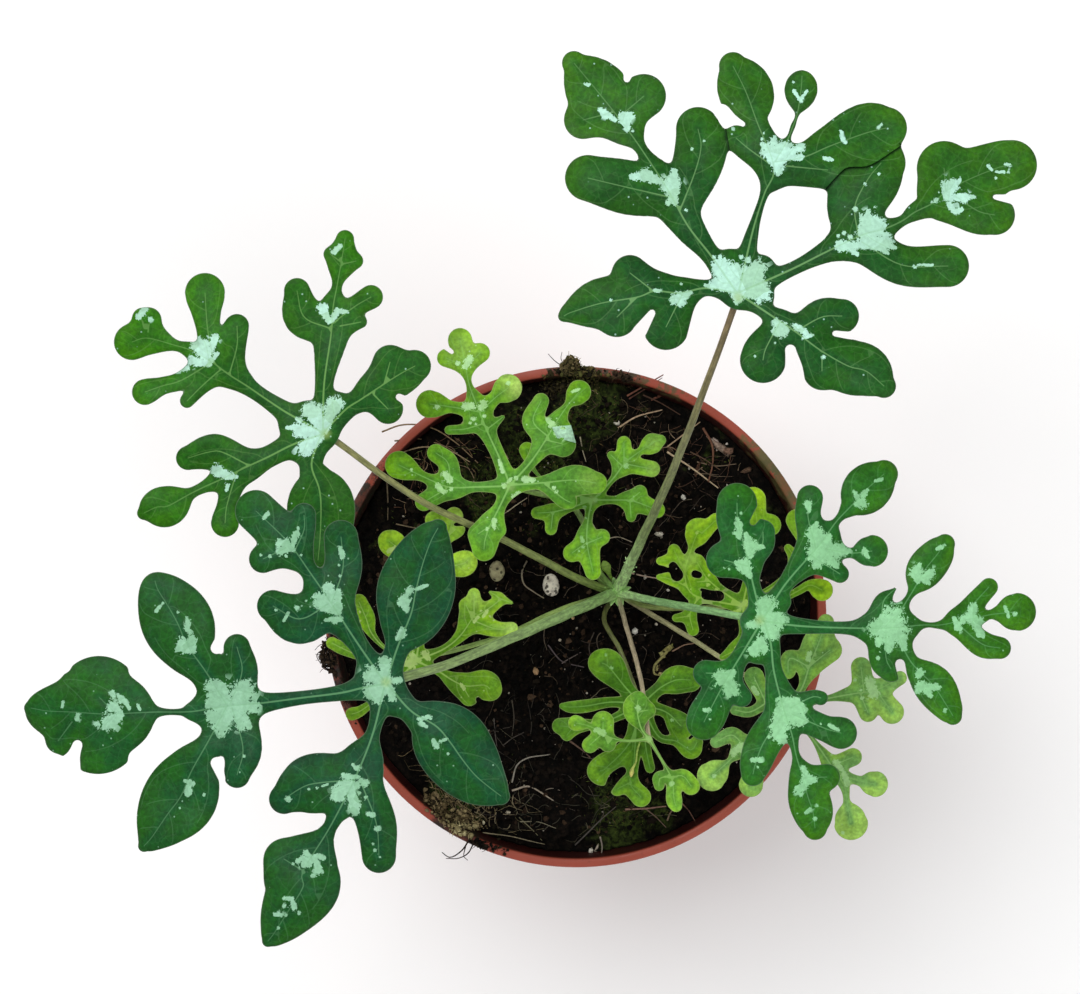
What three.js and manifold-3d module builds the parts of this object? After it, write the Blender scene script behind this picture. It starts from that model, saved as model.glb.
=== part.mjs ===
// A potted silver-blotched plant: a round red nursery pot of dark soil, one short stem with long
// arching petioles, and deeply cut leaves that lie in layers over and past the rim.
// Millimetres, +Z up, origin at the middle of the pot's base, +Y away from the viewer's feet.
import * as THREE from "three";
import { mergeVertices } from "three/addons/utils/BufferGeometryUtils.js";
import Module from "manifold-3d";

const wasm = await Module();
wasm.setup();

// Pot
const RIM_DIAMETER = 120;
const POT_HEIGHT = 100;
const BASE_DIAMETER = 84;
const WALL = 1.6;
const FLOOR = 2.4;
const RIM_BAND_HEIGHT = 13;
const RIM_BAND_STEP = 2.2;
const RIM_LIP = 2.2;
const RIM_ROUNDING = 0.8;
const FOOT_ROUNDING = 1;
const DRAIN_HOLES = 6;
const DRAIN_HOLE_DIAMETER = 9;
const DRAIN_CIRCLE_DIAMETER = 56;
const POT_SEGMENTS = 60;
const HOLE_SEGMENTS = 20;

// Soil
const SOIL_DEPTH_BELOW_RIM = 5.5;
const SOIL_RINGS = 12;
const SOIL_SPOKES = 44;
const SOIL_BUMPS = 46;
const SOIL_BUMP_HEIGHT = 2.6;
const SOIL_BUMP_SINK = 0.35;
const SOIL_BUMP_WIDTHS = [4, 10];
const SOIL_EDGE_GAP = 0.8;
const SOIL_FOOT_GAP = 1.4;
const FLAT_ROUND_STEM = 9;
const FIT = 0.3;

// Stem and petioles
const STEM_RADIUS = 2.4;
const STEM_ROOT_DEPTH = 14;
const CROWN_OVER_SOIL = 6.5;
const PETIOLE_STEPS = 12;
const PETIOLE_SIDES = 7;

// Leaves
const BLADE_THICKNESS = 0.8;
const EDGE_TURN = 1.1;
const EDGE_TURN_WIDTH = 12;
const RIPPLE = 1.1;
const OUTLINE_STEP = 2.5;
const OUTLINE_TOLERANCE = 0.9;
const LONGEST_EDGE = 26;
const LATTICE = 22;
const LATTICE_MARGIN = 9;
const SMALLEST_LOOP = 40;
const RIB_SPANS = 6;
const PLAN_MARGIN = 12;

// The plan: everything on the plant is placed by where it is seen from straight above.
// One plan step is the rim's diameter over the steps it spans, at the height of the rim.
const RIM_STEPS = 502;
const PLAN_STEP = RIM_DIAMETER / RIM_STEPS;
const RIM_CENTRE = [576, 617];
const EYE_CENTRE = [540, 497];
const EYE_HEIGHT = 600;
const CROWN = [617, 592];

// Each leaf: where its petiole meets the blade, how high over the rim, how much it leans (mm per 100
// plan steps to the right and down), how far it arches and droops, and how softly its lobes join.
const LEAVES = {
  lower_left: {
    node: [386, 682], height: 85, lean: [1.5, -1], arch: [3, 1.1], soft: 3, colour: 0x1f5a34,
  },
  upper_left: {
    node: [326, 434], height: 56, lean: [1, -1.5], arch: [2, 0.9], soft: 3, colour: 0x33691f,
  },
  upper_right: {
    node: [738, 297], height: 95, lean: [-1, 1.5], arch: [4, 1.5], soft: 3, colour: 0x2c6a24,
  },
  right: {
    node: [760, 620], height: 75, lean: [-1.5, 1], arch: [3, 1.3], soft: 2.6, colour: 0x256528,
  },
  centre_top: {
    node: [510, 487], height: 38, lean: [0, 0.5], arch: [1, 0.8], soft: 2, colour: 0x5a9a34,
  },
  centre: {
    node: [592, 500], height: 27, lean: [2, 0], arch: [2, 1], soft: 1.6, colour: 0x639e3a,
  },
  right_under: {
    node: [742, 606], height: 36, lean: [3, 0], arch: [0, 0.5], soft: 1.8, colour: 0x86b52c,
  },
  lower_right_under: {
    node: [788, 707], height: 30, lean: [3, 1], arch: [2, 1.5], soft: 2, colour: 0x649a3c,
  },
  lower_centre: {
    node: [641, 704], height: 16, lean: [0, 1], arch: [3, 3], soft: 1.8, colour: 0x5c942c,
  },
  left_under: {
    node: [416, 660], height: 33, lean: [1, 2.5], arch: [2, 1.4], soft: 2, colour: 0x93c03c,
  },
  young: {
    node: [649, 739], height: 34, lean: [0, 0], arch: [1, 2], soft: 1.2, colour: 0x79ad45,
  },
};

// The blades' plans. A rib is a line of points with the blade's half width at each, a web fills the
// crook between two ribs, and a cut is a notch or a slit between lobes.
const BLADES = {
  lower_left: {
    ribs: [
      [[386, 682, 14], [398, 646, 14], [411, 614, 33], [416, 590, 40], [423, 563, 32], [431, 541, 20],
       [438, 528, 10]],
      [[388, 685, 14], [411, 711, 13], [436, 726, 26], [450, 742, 38], [462, 759, 37], [475, 775, 30],
       [489, 787, 20], [501, 796, 10]],
      [[384, 688, 14], [373, 733, 8], [356, 776, 26], [330, 827, 8], [303, 871, 36], [303, 887, 37],
       [287, 913, 27], [275, 932, 15], [268, 941, 7]],
      [[352, 780, 25], [318, 783, 31], [303, 787, 26], [284, 799, 16]],
      [[360, 780, 20], [376, 822, 21], [379, 856, 18]],
      [[305, 872, 24], [284, 859, 21]],
      [[384, 684, 16], [362, 688, 13], [340, 693, 9], [300, 698, 8], [262, 703, 12], [228, 706, 26],
       [196, 711, 12], [180, 712, 4.5], [156, 712, 7], [132, 713, 25], [105, 714, 45], [72, 712, 34],
       [48, 711, 23], [31, 708, 8]],
      [[114, 712, 20], [99, 697, 42]],
      [[72, 722, 22], [58, 741, 13]],
      [[114, 716, 20], [98, 732, 43]],
      [[230, 704, 22], [242, 672, 17], [237, 647, 14]],
      [[226, 704, 20], [206, 672, 18], [187, 645, 29], [178, 624, 37], [168, 606, 31], [158, 590, 19],
       [155, 581, 8]],
      [[226, 708, 20], [209, 740, 11], [191, 772, 27], [181, 796, 38], [167, 815, 31], [152, 837, 15],
       [144, 846, 7]],
      [[232, 708, 22], [243, 748, 20], [237, 775, 14]],
      [[383, 680, 14], [358, 644, 11], [329, 600, 22], [309, 571, 10], [288, 542, 21], [256, 511, 22]],
      [[332, 602, 20], [343, 568, 20], [341, 537, 18]],
      [[328, 604, 20], [300, 619, 26], [273, 606, 17]],
      [[294, 552, 16], [304, 530, 12], [304, 515, 13]],
      [[286, 548, 18], [263, 559, 15]]
    ],
    webs: [
      [[386, 690, 16], [396, 704, 13]],
      [[380, 680, 16], [368, 672, 13]],
      [[212, 748, 8], [230, 746, 8]],
      [[208, 664, 8], [228, 664, 8]]
    ],
    cuts: [
      [[77.5, 745, 4], [73, 757, 6], [66, 772, 13]],
      [[54, 657, 9], [62, 664, 9]],
      [[216.5, 763, 5], [222, 779, 2.5]],
      [[216.5, 648, 5], [222, 633, 2.5]]
    ],
  },
  upper_left: {
    ribs: [
      [[323, 433, 12], [324, 385, 10], [331, 335, 18], [333, 308, 14], [337, 286, 6], [342, 258, 14],
       [345, 239, 10]],
      [[329, 328, 16], [304, 317, 21], [297, 291, 14]],
      [[332, 324, 14], [354, 307, 11], [371, 297, 13]],
      [[340, 326, 13], [361, 322, 7]],
      [[341, 262, 12], [330, 254, 7]],
      [[343, 264, 12], [356, 261, 8]],
      [[323, 433, 12], [345, 410, 11], [360, 400, 13], [378, 388, 20], [400, 374, 22], [415, 366, 17]],
      [[384, 384, 18], [390, 362, 18]],
      [[374, 395, 15], [388, 409, 16]],
      [[323, 433, 12], [300, 420, 12], [284, 411, 11], [263, 397, 9], [247, 386, 10], [228, 374, 13],
       [212, 362, 16], [190, 350, 9], [174, 345, 7], [147, 338, 18], [132, 342, 19]],
      [[148, 332, 13], [150, 319, 12]],
      [[144, 328, 12], [141, 317, 9]],
      [[214, 362, 14], [208, 332, 12], [206, 310, 16], [205, 293, 21]],
      [[230, 372, 14], [237, 346, 10], [237, 326, 13]],
      [[212, 362, 14], [182, 380, 10], [162, 386, 10], [145, 392, 14]],
      [[220, 370, 12], [202, 386, 9], [187, 401, 8]],
      [[323, 434, 12], [294, 444, 13], [268, 457, 12], [244, 468, 16], [224, 478, 13], [204, 487, 7],
       [188, 495, 8], [168, 506, 21], [157, 507, 18], [144, 513, 8]],
      [[246, 464, 15], [222, 452, 17], [209, 452, 18], [188, 458, 13]],
      [[236, 474, 13], [227, 505, 11], [225, 523, 15]],
      [[321, 436, 11], [313, 456, 12], [312, 469, 13], [319, 488, 22], [321, 508, 35], [320, 538, 28],
       [318, 560, 9]]
    ],
    webs: [
      [[318, 425, 12], [307, 413, 13]],
      [[318, 430, 12], [295, 425, 17]],
      [[316, 440, 12], [303, 449, 15]],
      [[324, 425, 12], [336, 407, 16]],
      [[246, 378, 5], [240, 368, 5]],
      [[218, 356, 8], [224, 338, 10]]
    ],
    cuts: [
      [[399, 397, 2.5], [410, 403, 4]]
    ],
  },
  upper_right: {
    ribs: [
      [[737, 293, 14], [712, 257, 10.5], [688, 226, 16.5], [668, 190, 20], [642, 150, 7], [622, 122, 22],
       [598, 92, 32], [574, 63, 13]],
      [[614, 112, 22], [583, 120, 20]],
      [[618, 118, 20], [644, 96, 23]],
      [[680, 210, 18], [695, 172, 25], [701, 147, 27], [698, 129, 23]],
      [[674, 198, 20], [630, 188, 28], [588, 178, 24]],
      [[736, 293, 11], [706, 288, 9], [680, 293, 16], [655, 291, 20], [638, 297, 21], [602, 303, 26],
       [572, 312, 12], [564, 316, 7]],
      [[652, 290, 18], [630, 273, 19]],
      [[682, 295, 16], [666, 327, 24]],
      [[634, 300, 18], [617, 317, 21]],
      [[739, 291, 14], [750, 242, 8.5], [757, 216, 5.5], [765, 192, 6], [774, 167, 17], [757, 122, 12],
       [746, 92, 28.5], [733, 66, 15]],
      [[770, 164, 14], [749, 149, 14], [736, 138, 13]],
      [[775, 162, 14], [787, 141, 3.5], [793, 126, 2.4], [797.5, 113, 2.6], [801, 90, 17.5], [802, 76, 7]],
      [[775, 162, 18], [804, 157, 15], [830, 146, 21], [866, 133, 30.5], [886, 128, 22]],
      [[786, 166, 20], [828, 170, 20]],
      [[740, 292, 14], [790, 270, 8], [826, 252, 12], [862, 235, 24], [884, 229, 12], [902, 221, 6.5],
       [915, 212, 10], [933, 203, 15], [948, 190, 30], [972, 178, 30], [1000, 167, 27], [1012, 165, 26]],
      [[946, 190, 26], [944, 168, 28]],
      [[955, 196, 28], [978, 211, 24], [995, 215, 21]],
      [[858, 234, 22], [855, 206, 29], [868, 179, 33.5], [881, 163, 25.5]],
      [[862, 242, 20], [902, 265, 21], [948, 266, 22]],
      [[742, 296, 10], [760, 308, 8], [775, 318, 10], [796, 332, 16], [820, 350, 22], [848, 366, 28],
       [866, 371, 26], [884, 386, 13]],
      [[822, 356, 22], [822, 371, 20]],
      [[798, 330, 13], [822, 317, 19], [842, 316, 18]],
      [[780, 322, 12], [766, 348, 21], [763, 360, 24]]
    ],
    webs: [
      [[738, 285, 13], [730, 263, 15]],
      [[745, 285, 13], [762, 268, 14]],
      [[745, 294, 12], [762, 296, 13]]
    ],
    cuts: [
      [[627, 79, 2.5], [629, 66, 4]],
      [[743, 124, 1.5], [731, 118.5, 4.5], [722, 112, 7]],
      [[725, 124, 1.2], [731, 156, 1.2]],
      [[822, 193, 1.2], [838, 175, 1.1], [848, 167.5, 1.1], [865, 166.5, 1.1], [877, 161.5, 1.1],
       [892, 151.5, 1.1], [908, 141, 1.3]],
      [[995, 197, 1.5], [1014, 199.5, 4]],
      [[652, 313, 2.5], [640, 331, 6]],
      [[835, 333.5, 2], [852, 335.5, 3], [868, 334, 4]],
      [[790.5, 350, 4.5], [794, 370, 8], [795, 392, 10]]
    ],
  },
  right: {
    ribs: [
      [[762, 620, 13], [753, 584, 8], [746, 553, 17], [738, 522, 22], [737, 503, 21]],
      [[750, 556, 14], [762, 545, 13], [763, 532, 13]],
      [[747, 566, 14], [724, 560, 19]],
      [[763, 619, 13], [784, 586, 9], [806, 560, 16], [821, 543, 20], [836, 522, 5], [852, 505, 12],
       [867, 489, 25], [884, 474, 15]],
      [[816, 548, 16], [808, 517, 14], [810, 498, 14]],
      [[826, 549, 14], [851, 553, 6], [872, 551, 17]],
      [[812, 556, 16], [840, 574, 10]],
      [[764, 621, 14], [800, 626, 9], [850, 628, 8], [889, 628, 22], [922, 625, 5], [940, 625, 5],
       [960, 621, 11]],
      [[894, 622, 14], [906, 602, 5], [914, 589, 7], [924, 571, 19], [936, 556, 18], [945, 544, 11]],
      [[882, 614, 14], [884, 600, 9], [896, 588, 2]],
      [[886, 634, 18], [886, 658, 18], [891, 669, 14]],
      [[898, 636, 12], [911, 662, 9], [933, 685, 21], [947, 706, 16], [953, 716, 10]],
      [[958, 620, 11], [975, 602, 11], [989, 587, 10]],
      [[960, 621, 12], [980, 617, 8], [991, 614.5, 5.5], [1005, 613, 12], [1017, 612, 20]],
      [[960, 626, 12], [982, 644, 14], [1000, 648, 12]],
      [[765, 624, 12], [771, 645, 10], [774, 672, 10], [784, 710, 18], [792, 735, 8], [796, 755, 5],
       [802, 775, 13], [808, 797, 21], [813, 812, 21], [815, 828, 13]],
      [[790, 708, 13], [812, 697, 8], [821, 698, 8]],
      [[792, 714, 14], [824, 728, 14], [841, 733, 17]],
      [[782, 716, 18], [764, 742, 19], [756, 762, 17], [753, 774, 13]],
      [[804, 778, 12], [827, 777, 14]],
      [[760, 624, 12], [740, 657, 10], [726, 680, 15], [709, 712, 20], [704, 722, 19]],
      [[728, 674, 12], [706, 673, 14]],
      [[728, 682, 12], [742, 697, 11]]
    ],
    webs: [
      [[770, 610, 14], [782, 602, 10]],
      [[762, 632, 12], [758, 653, 12]],
      [[762, 620, 13], [751, 621, 12]]
    ],
    cuts: [
      [[753, 522, 2.5], [760, 511, 4]],
      [[900, 664, 4], [903, 678, 3.5], [906, 692, 4]],
      [[991, 606, 2], [1002, 594, 3]]
    ],
  },
  centre_top: {
    ribs: [
      [[510, 485, 10], [499, 457, 8], [488, 433, 9], [478, 408, 12], [469, 384, 4], [465, 362, 10],
       [460, 340, 13]],
      [[465, 366, 8], [446, 358, 10]],
      [[467, 366, 8], [480, 353, 11]],
      [[480, 412, 10], [452, 407, 7], [430, 404, 15]],
      [[482, 424, 7], [465, 429, 6], [449, 430, 5.5]],
      [[480, 412, 10], [496, 397, 8], [508, 388, 15]],
      [[486, 430, 8], [503, 417, 3]],
      [[510, 485, 8], [530, 463, 7], [545, 441, 12], [557, 421, 10], [568, 405, 5], [579, 392, 13]],
      [[547, 436, 12], [533, 421, 12], [541, 401, 9]],
      [[546, 440, 12], [563, 444, 14]],
      [[510, 485, 10], [540, 483, 7], [574, 480, 16], [596, 483, 12]],
      [[546, 485, 8], [564, 499, 10], [570, 502, 8]],
      [[509, 487, 10], [500, 506, 7], [490, 526, 13], [485, 540, 15], [484, 549, 13]],
      [[494, 522, 10], [499, 530, 8]],
      [[490, 526, 12], [478, 534, 11]],
      [[509, 486, 9], [475, 487, 6], [449, 487, 13], [424, 477, 6], [399, 465, 15]],
      [[450, 484, 12], [448, 463, 11], [436, 453, 10]],
      [[446, 489, 11], [424, 502, 10]]
    ],
    webs: [
      [[482, 424, 8], [471, 421, 8]],
      [[554, 428, 10], [564, 428, 8]]
    ],
    cuts: [
      [[444, 346, 1.5], [452, 352, 1.2]],
      [[437, 419.5, 1], [456, 419, 1.6]]
    ],
  },
  centre: {
    ribs: [
      [[593, 500, 7], [612, 480, 4], [625, 463, 11], [639, 452, 4.5], [652, 444, 11]],
      [[622, 466, 9], [611, 455, 5]],
      [[624, 464, 9], [624, 443, 8]],
      [[626, 464, 9], [652, 469, 9]],
      [[652, 442, 8], [661, 440, 6]],
      [[593, 500, 7], [614, 500, 5], [633, 501, 11], [657, 510, 9]],
      [[630, 500, 8], [640, 492, 8]],
      [[630, 502, 8], [631, 517, 6]],
      [[592, 501, 7], [588, 520, 5], [587, 543, 13], [593, 572, 9]],
      [[586, 543, 10], [572, 553, 10]],
      [[588, 543, 9], [602, 537, 9]],
      [[592, 500, 6], [570, 508, 5], [552, 512, 9], [537, 513, 7]],
      [[553, 512, 8], [551, 529, 7]],
      [[591, 499, 5], [556, 489, 3], [534, 470, 3], [527, 450, 9]]
    ],
    webs: [],
    cuts: [],
  },
  right_under: {
    ribs: [
      [[742, 606, 8], [714, 601, 5], [691, 593, 8], [685, 573, 8], [691, 550, 4], [698, 531, 14]],
      [[685, 578, 7], [672, 562, 8], [660, 561, 5]],
      [[685, 572, 7], [674, 550, 7]],
      [[686, 586, 6], [670, 579, 7], [659, 577, 4]],
      [[698, 598, 5], [690, 614, 7], [693, 630, 7]],
      [[690, 616, 6], [676, 618, 5]],
      [[742, 605, 8], [719, 589, 6], [706, 577, 9], [697, 562, 9]],
      [[709, 581, 8], [697, 582, 6]],
      [[702, 533, 8], [716, 520, 8]],
      [[743, 604, 7], [752, 560, 5], [757, 525, 8], [753, 500, 14]],
      [[757, 532, 7], [770, 525, 12]],
      [[743, 605, 6], [768, 590, 4], [790, 574, 6], [794, 558, 7], [788, 548, 5]],
      [[791, 572, 5], [804, 545, 7], [797, 520, 12]],
      [[743, 606, 7], [775, 602, 4], [798, 591, 5], [810, 585, 6], [822, 590, 12]],
      [[743, 607, 8], [744, 634, 6], [736, 649, 9], [722, 657, 4]]
    ],
    webs: [],
    cuts: [
      [[673, 566, 3.5], [677, 575, 5.5]],
      [[695, 574, 3], [699, 575, 2.5]],
      [[706, 595, 4], [719, 596, 4.5]]
    ],
  },
  lower_right_under: {
    ribs: [
      [[788, 707, 8], [802, 688, 5], [810, 664, 12], [818, 645, 17], [826, 622, 9]],
      [[810, 666, 11], [830, 650, 13]],
      [[809, 667, 10], [790, 658, 9], [788, 672, 8]],
      [[788, 707, 8], [825, 699, 4], [852, 694, 9], [876, 690, 11], [900, 678, 8]],
      [[864, 692, 12], [861, 667, 11]],
      [[860, 693, 10], [868, 713, 10]],
      [[876, 690, 9], [892, 712, 13]],
      [[788, 708, 7], [812, 738, 3], [831, 765, 9], [844, 785, 6], [847, 803, 5], [851, 823, 18]],
      [[837, 774, 7], [860, 781, 6], [875, 784, 14]],
      [[832, 766, 9], [853, 757, 10]],
      [[787, 708, 7], [766, 728, 4], [741, 749, 9], [728, 762, 4], [712, 776, 16]],
      [[744, 746, 9], [732, 735, 9], [716, 742, 7]],
      [[770, 725, 4], [758, 758, 7], [751, 785, 13]],
      [[787, 707, 6], [768, 703, 6], [760, 690, 9], [754, 677, 11]],
      [[768, 702, 6], [750, 712, 6], [735, 710, 6]]
    ],
    webs: [],
    cuts: [],
  },
  lower_centre: {
    ribs: [
      [[641, 704, 8], [626, 688, 9], [609, 667, 17], [602, 663, 15]],
      [[641, 704, 7], [612, 702, 6], [586, 706, 7.5], [570, 707, 6.5], [562, 706, 4]],
      [[641, 705, 7], [604, 722, 5], [572, 726, 9], [560, 726, 9]],
      [[574, 726, 8], [567, 735, 7]],
      [[641, 705, 8], [630, 742, 8], [606, 768, 16], [600, 771, 14]],
      [[636, 726, 8], [634, 762, 6], [630, 783, 9], [641, 797, 11]],
      [[631, 782, 8], [617, 789, 8]],
      [[642, 704, 8], [660, 688, 8], [676, 680, 15], [690, 680, 13]],
      [[642, 705, 8], [666, 712, 7], [681, 726, 14]],
      [[642, 706, 7], [658, 736, 5], [676, 741, 6], [691, 750, 10], [697, 742, 7]],
      [[642, 706, 7], [646, 748, 6], [650, 768, 6]]
    ],
    webs: [],
    cuts: [
      [[622, 771, 3.5], [614, 778, 4.5], [608, 789, 3]]
    ],
  },
  left_under: {
    ribs: [
      [[416, 660, 9], [442, 650, 5], [460, 636, 7], [475, 614, 14]],
      [[474, 616, 11], [474, 594, 7]],
      [[472, 618, 10], [466, 605, 8]],
      [[474, 618, 10], [495, 604, 7], [499, 598, 6], [490, 592, 2.5]],
      [[499, 598, 5], [512, 603, 2.5]],
      [[472, 620, 12], [496, 629, 9], [512, 628, 7]],
      [[416, 661, 8], [438, 671, 5], [452, 680, 9], [466, 686, 13], [484, 685, 16], [490, 689, 13]],
      [[462, 685, 12], [469, 697, 10]],
      [[416, 660, 7], [425, 612, 4], [438, 565, 5], [446, 540, 5], [456, 529, 10]],
      [[448, 537, 6], [454, 516, 10]],
      [[440, 558, 5], [434, 520, 10]],
      [[437, 568, 5], [462, 564, 14], [469, 559, 8]],
      [[434, 578, 4], [410, 560, 7], [394, 545, 14], [389, 541, 12]],
      [[415, 660, 6], [388, 650, 3], [372, 634, 5], [366, 618, 10], [359, 602, 9]],
      [[415, 661, 6], [376, 662, 3], [346, 650, 7], [332, 643, 7]],
      [[415, 662, 6], [388, 690, 3], [362, 710, 6], [352, 714, 7.5]]
    ],
    webs: [],
    cuts: [
      [[455, 524.5, 0.9], [467, 523.5, 1.1]],
      [[478, 699, 1.5], [483, 707, 3]]
    ],
  },
  young: {
    ribs: [
      [[649, 739, 3], [628, 741, 2.2], [612, 738, 4], [603, 733, 9]],
      [[603, 733, 11], [603, 722, 12]],
      [[603, 733, 6], [589, 726, 4], [576, 723, 9]],
      [[602, 734, 8], [590, 745, 9]],
      [[604, 734, 9], [608, 744, 9]],
      [[649, 739, 3], [641, 728, 4], [637, 710, 15], [638, 700, 10]],
      [[638, 712, 10], [648, 710, 9]],
      [[649, 739, 3], [664, 764, 2.5], [672, 780, 6], [674, 799, 9], [676, 806, 7]],
      [[671, 777, 6], [683, 776, 8], [691, 786, 10]],
      [[671, 777, 6], [660, 778, 8], [659, 786, 6]]
    ],
    webs: [],
    cuts: [],
  },
};

// Petioles: the points they pass on the plan after the crown, the radius at each end in mm, and how
// early they rise.
const PETIOLES = {
  lower_left: { via: [[560, 617], [500, 643], [440, 667]], radii: [1.3, 0.95], rise: 1.6 },
  upper_left: { via: [[588, 583], [508, 542], [418, 499]], radii: [0.95, 0.65], rise: 1.6 },
  upper_right: { via: [[637, 549], [673, 470], [706, 385]], radii: [1.3, 0.6], rise: 2.4 },
  right: { via: [[650, 600], [700, 609]], radii: [0.95, 0.75], rise: 1.6 },
  centre_top: { via: [[598, 576], [590, 540], [570, 503], [540, 494]], radii: [0.75, 0.6], rise: 0.72 },
  centre: { via: [[600, 572], [590, 545]], radii: [0.65, 0.5], rise: 1.6 },
  right_under: { via: [[645, 606], [700, 608]], radii: [0.65, 0.5], rise: 1.6 },
  lower_right_under: { via: [[638, 606], [715, 654]], radii: [0.65, 0.5], rise: 1.6 },
  lower_centre: { via: [[604, 618], [620, 650]], radii: [0.6, 0.5], rise: 1.6 },
  left_under: { via: [[560, 610], [500, 637]], radii: [0.7, 0.55], rise: 1.6 },
  young: { via: [[625, 622], [641, 681]], radii: [0.6, 0.5], rise: 1.6 },
};

// A point of the plan, at a height, as it stands in the room: nearer the eye is smaller.
function place(x, y, z) {
  const scale = (PLAN_STEP * (EYE_HEIGHT + POT_HEIGHT - z)) / EYE_HEIGHT;
  const right = (EYE_CENTRE[0] - RIM_CENTRE[0]) * PLAN_STEP + (x - EYE_CENTRE[0]) * scale;
  const up = (RIM_CENTRE[1] - EYE_CENTRE[1]) * PLAN_STEP - (y - EYE_CENTRE[1]) * scale;
  return new THREE.Vector3(right, up, z);
}

function seeded(seed) {
  let state = seed;
  return () => {
    state = (state * 1664525 + 1013904223) % 4294967296;
    return state / 4294967296;
  };
}

// A smooth line through a rib's points, with its half width carried along.
function smoothRib(rib) {
  if (rib.length === 2) return rib;
  const first = rib[0].map((v, i) => (i === 2 ? v : 2 * v - rib[1][i]));
  const end = rib[rib.length - 1];
  const last = end.map((v, i) => (i === 2 ? v : 2 * v - rib[rib.length - 2][i]));
  const guide = [first, ...rib, last];
  const line = [];
  for (let i = 0; i < rib.length - 1; i += 1) {
    const [a, b, c, d] = guide.slice(i, i + 4);
    for (let step = 0; step < RIB_SPANS; step += 1) {
      const t = step / RIB_SPANS;
      line.push(b.map((v, k) => 0.5 * (2 * v + (c[k] - a[k]) * t
        + (2 * a[k] - 5 * v + 4 * c[k] - d[k]) * t * t
        + (3 * v - a[k] - 3 * c[k] + d[k]) * t * t * t)));
    }
  }
  line.push(end);
  return line;
}

// How far a point lies outside a rib's own outline, negative inside.
function outsideRib(line, x, y) {
  let best = Infinity;
  for (let i = 0; i < line.length - 1; i += 1) {
    const [ax, ay, aw] = line[i];
    const [bx, by, bw] = line[i + 1];
    const dx = bx - ax;
    const dy = by - ay;
    const along = ((x - ax) * dx + (y - ay) * dy) / (dx * dx + dy * dy + 1e-9);
    const t = Math.min(1, Math.max(0, along));
    best = Math.min(best, Math.hypot(x - ax - t * dx, y - ay - t * dy) - aw - t * (bw - aw));
  }
  return best;
}

// How far a point lies outside the whole blade: ribs and webs joined softly, less the cuts.
function bladeField(name) {
  const { soft } = LEAVES[name];
  const lines = [...BLADES[name].ribs, ...BLADES[name].webs].map(smoothRib);
  const cuts = BLADES[name].cuts.map(smoothRib);
  return (x, y) => {
    let sum = 0;
    for (const line of lines) sum += Math.exp(-Math.min(60, Math.max(-60, outsideRib(line, x, y))) / soft);
    let outside = -soft * Math.log(sum);
    for (const cut of cuts) outside = Math.max(outside, -outsideRib(cut, x, y));
    return outside;
  };
}

// The height of a blade's middle surface over a point of the plan: an arch from the petiole that
// droops outwards, edges that turn down, and a slow ripple that grows with the distance.
function bladeHeight(name, field) {
  const { node, height, lean, arch } = LEAVES[name];
  return (x, y) => {
    const dx = (x - node[0]) / 100;
    const dy = (y - node[1]) / 100;
    const far = Math.hypot(dx, dy);
    const inside = 1 - Math.exp(Math.min(0, field(x, y)) / EDGE_TURN_WIDTH);
    const wave = Math.sin(x / 23 + y / 31 + height) + 0.6 * Math.sin(y / 17 - x / 41);
    return POT_HEIGHT + height + lean[0] * dx + lean[1] * dy + arch[0] * far - arch[1] * far * far
      + EDGE_TURN * inside + RIPPLE * wave * Math.min(1, far);
  };
}

// The closed loops where a field is zero, with the inside on their left.
function traceLoops(field, box, step) {
  const columns = Math.ceil((box.max.x - box.min.x) / step) + 1;
  const rows = Math.ceil((box.max.y - box.min.y) / step) + 1;
  const px = (i) => box.min.x + i * step;
  const py = (j) => box.min.y + j * step;
  const values = new Float64Array(columns * rows);
  for (let j = 0; j < rows; j += 1) {
    for (let i = 0; i < columns; i += 1) values[j * columns + i] = field(px(i), py(j));
  }
  const corners = [[0, 0], [1, 0], [1, 1], [0, 1]];
  const following = new Map();
  for (let j = 0; j < rows - 1; j += 1) {
    for (let i = 0; i < columns - 1; i += 1) {
      const crossings = [];
      for (let k = 0; k < 4; k += 1) {
        const [i0, j0] = [i + corners[k][0], j + corners[k][1]];
        const [i1, j1] = [i + corners[(k + 1) % 4][0], j + corners[(k + 1) % 4][1]];
        const v0 = values[j0 * columns + i0];
        const v1 = values[j1 * columns + i1];
        if (v0 < 0 === v1 < 0) continue;
        const t = v0 / (v0 - v1);
        const lowest = Math.min(i0, i1) + columns * Math.min(j0, j1);
        crossings.push({
          key: lowest * 2 + (i0 === i1 ? 1 : 0),
          leaves: v0 < 0,
          point: [px(i0) + t * step * (i1 - i0), py(j0) + t * step * (j1 - j0)],
        });
      }
      crossings.forEach((from, k) => {
        const to = crossings[(k + 1) % crossings.length];
        if (from.leaves) following.set(from.key, { to: to.key, point: from.point });
      });
    }
  }
  const loops = [];
  while (following.size) {
    const loop = [];
    let key = following.keys().next().value;
    while (following.has(key)) {
      const { to, point } = following.get(key);
      following.delete(key);
      loop.push(point);
      key = to;
    }
    loops.push(loop);
  }
  return loops;
}

const loopArea = (loop) => THREE.ShapeUtils.area(loop.map(([x, y]) => new THREE.Vector2(x, y)));

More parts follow.
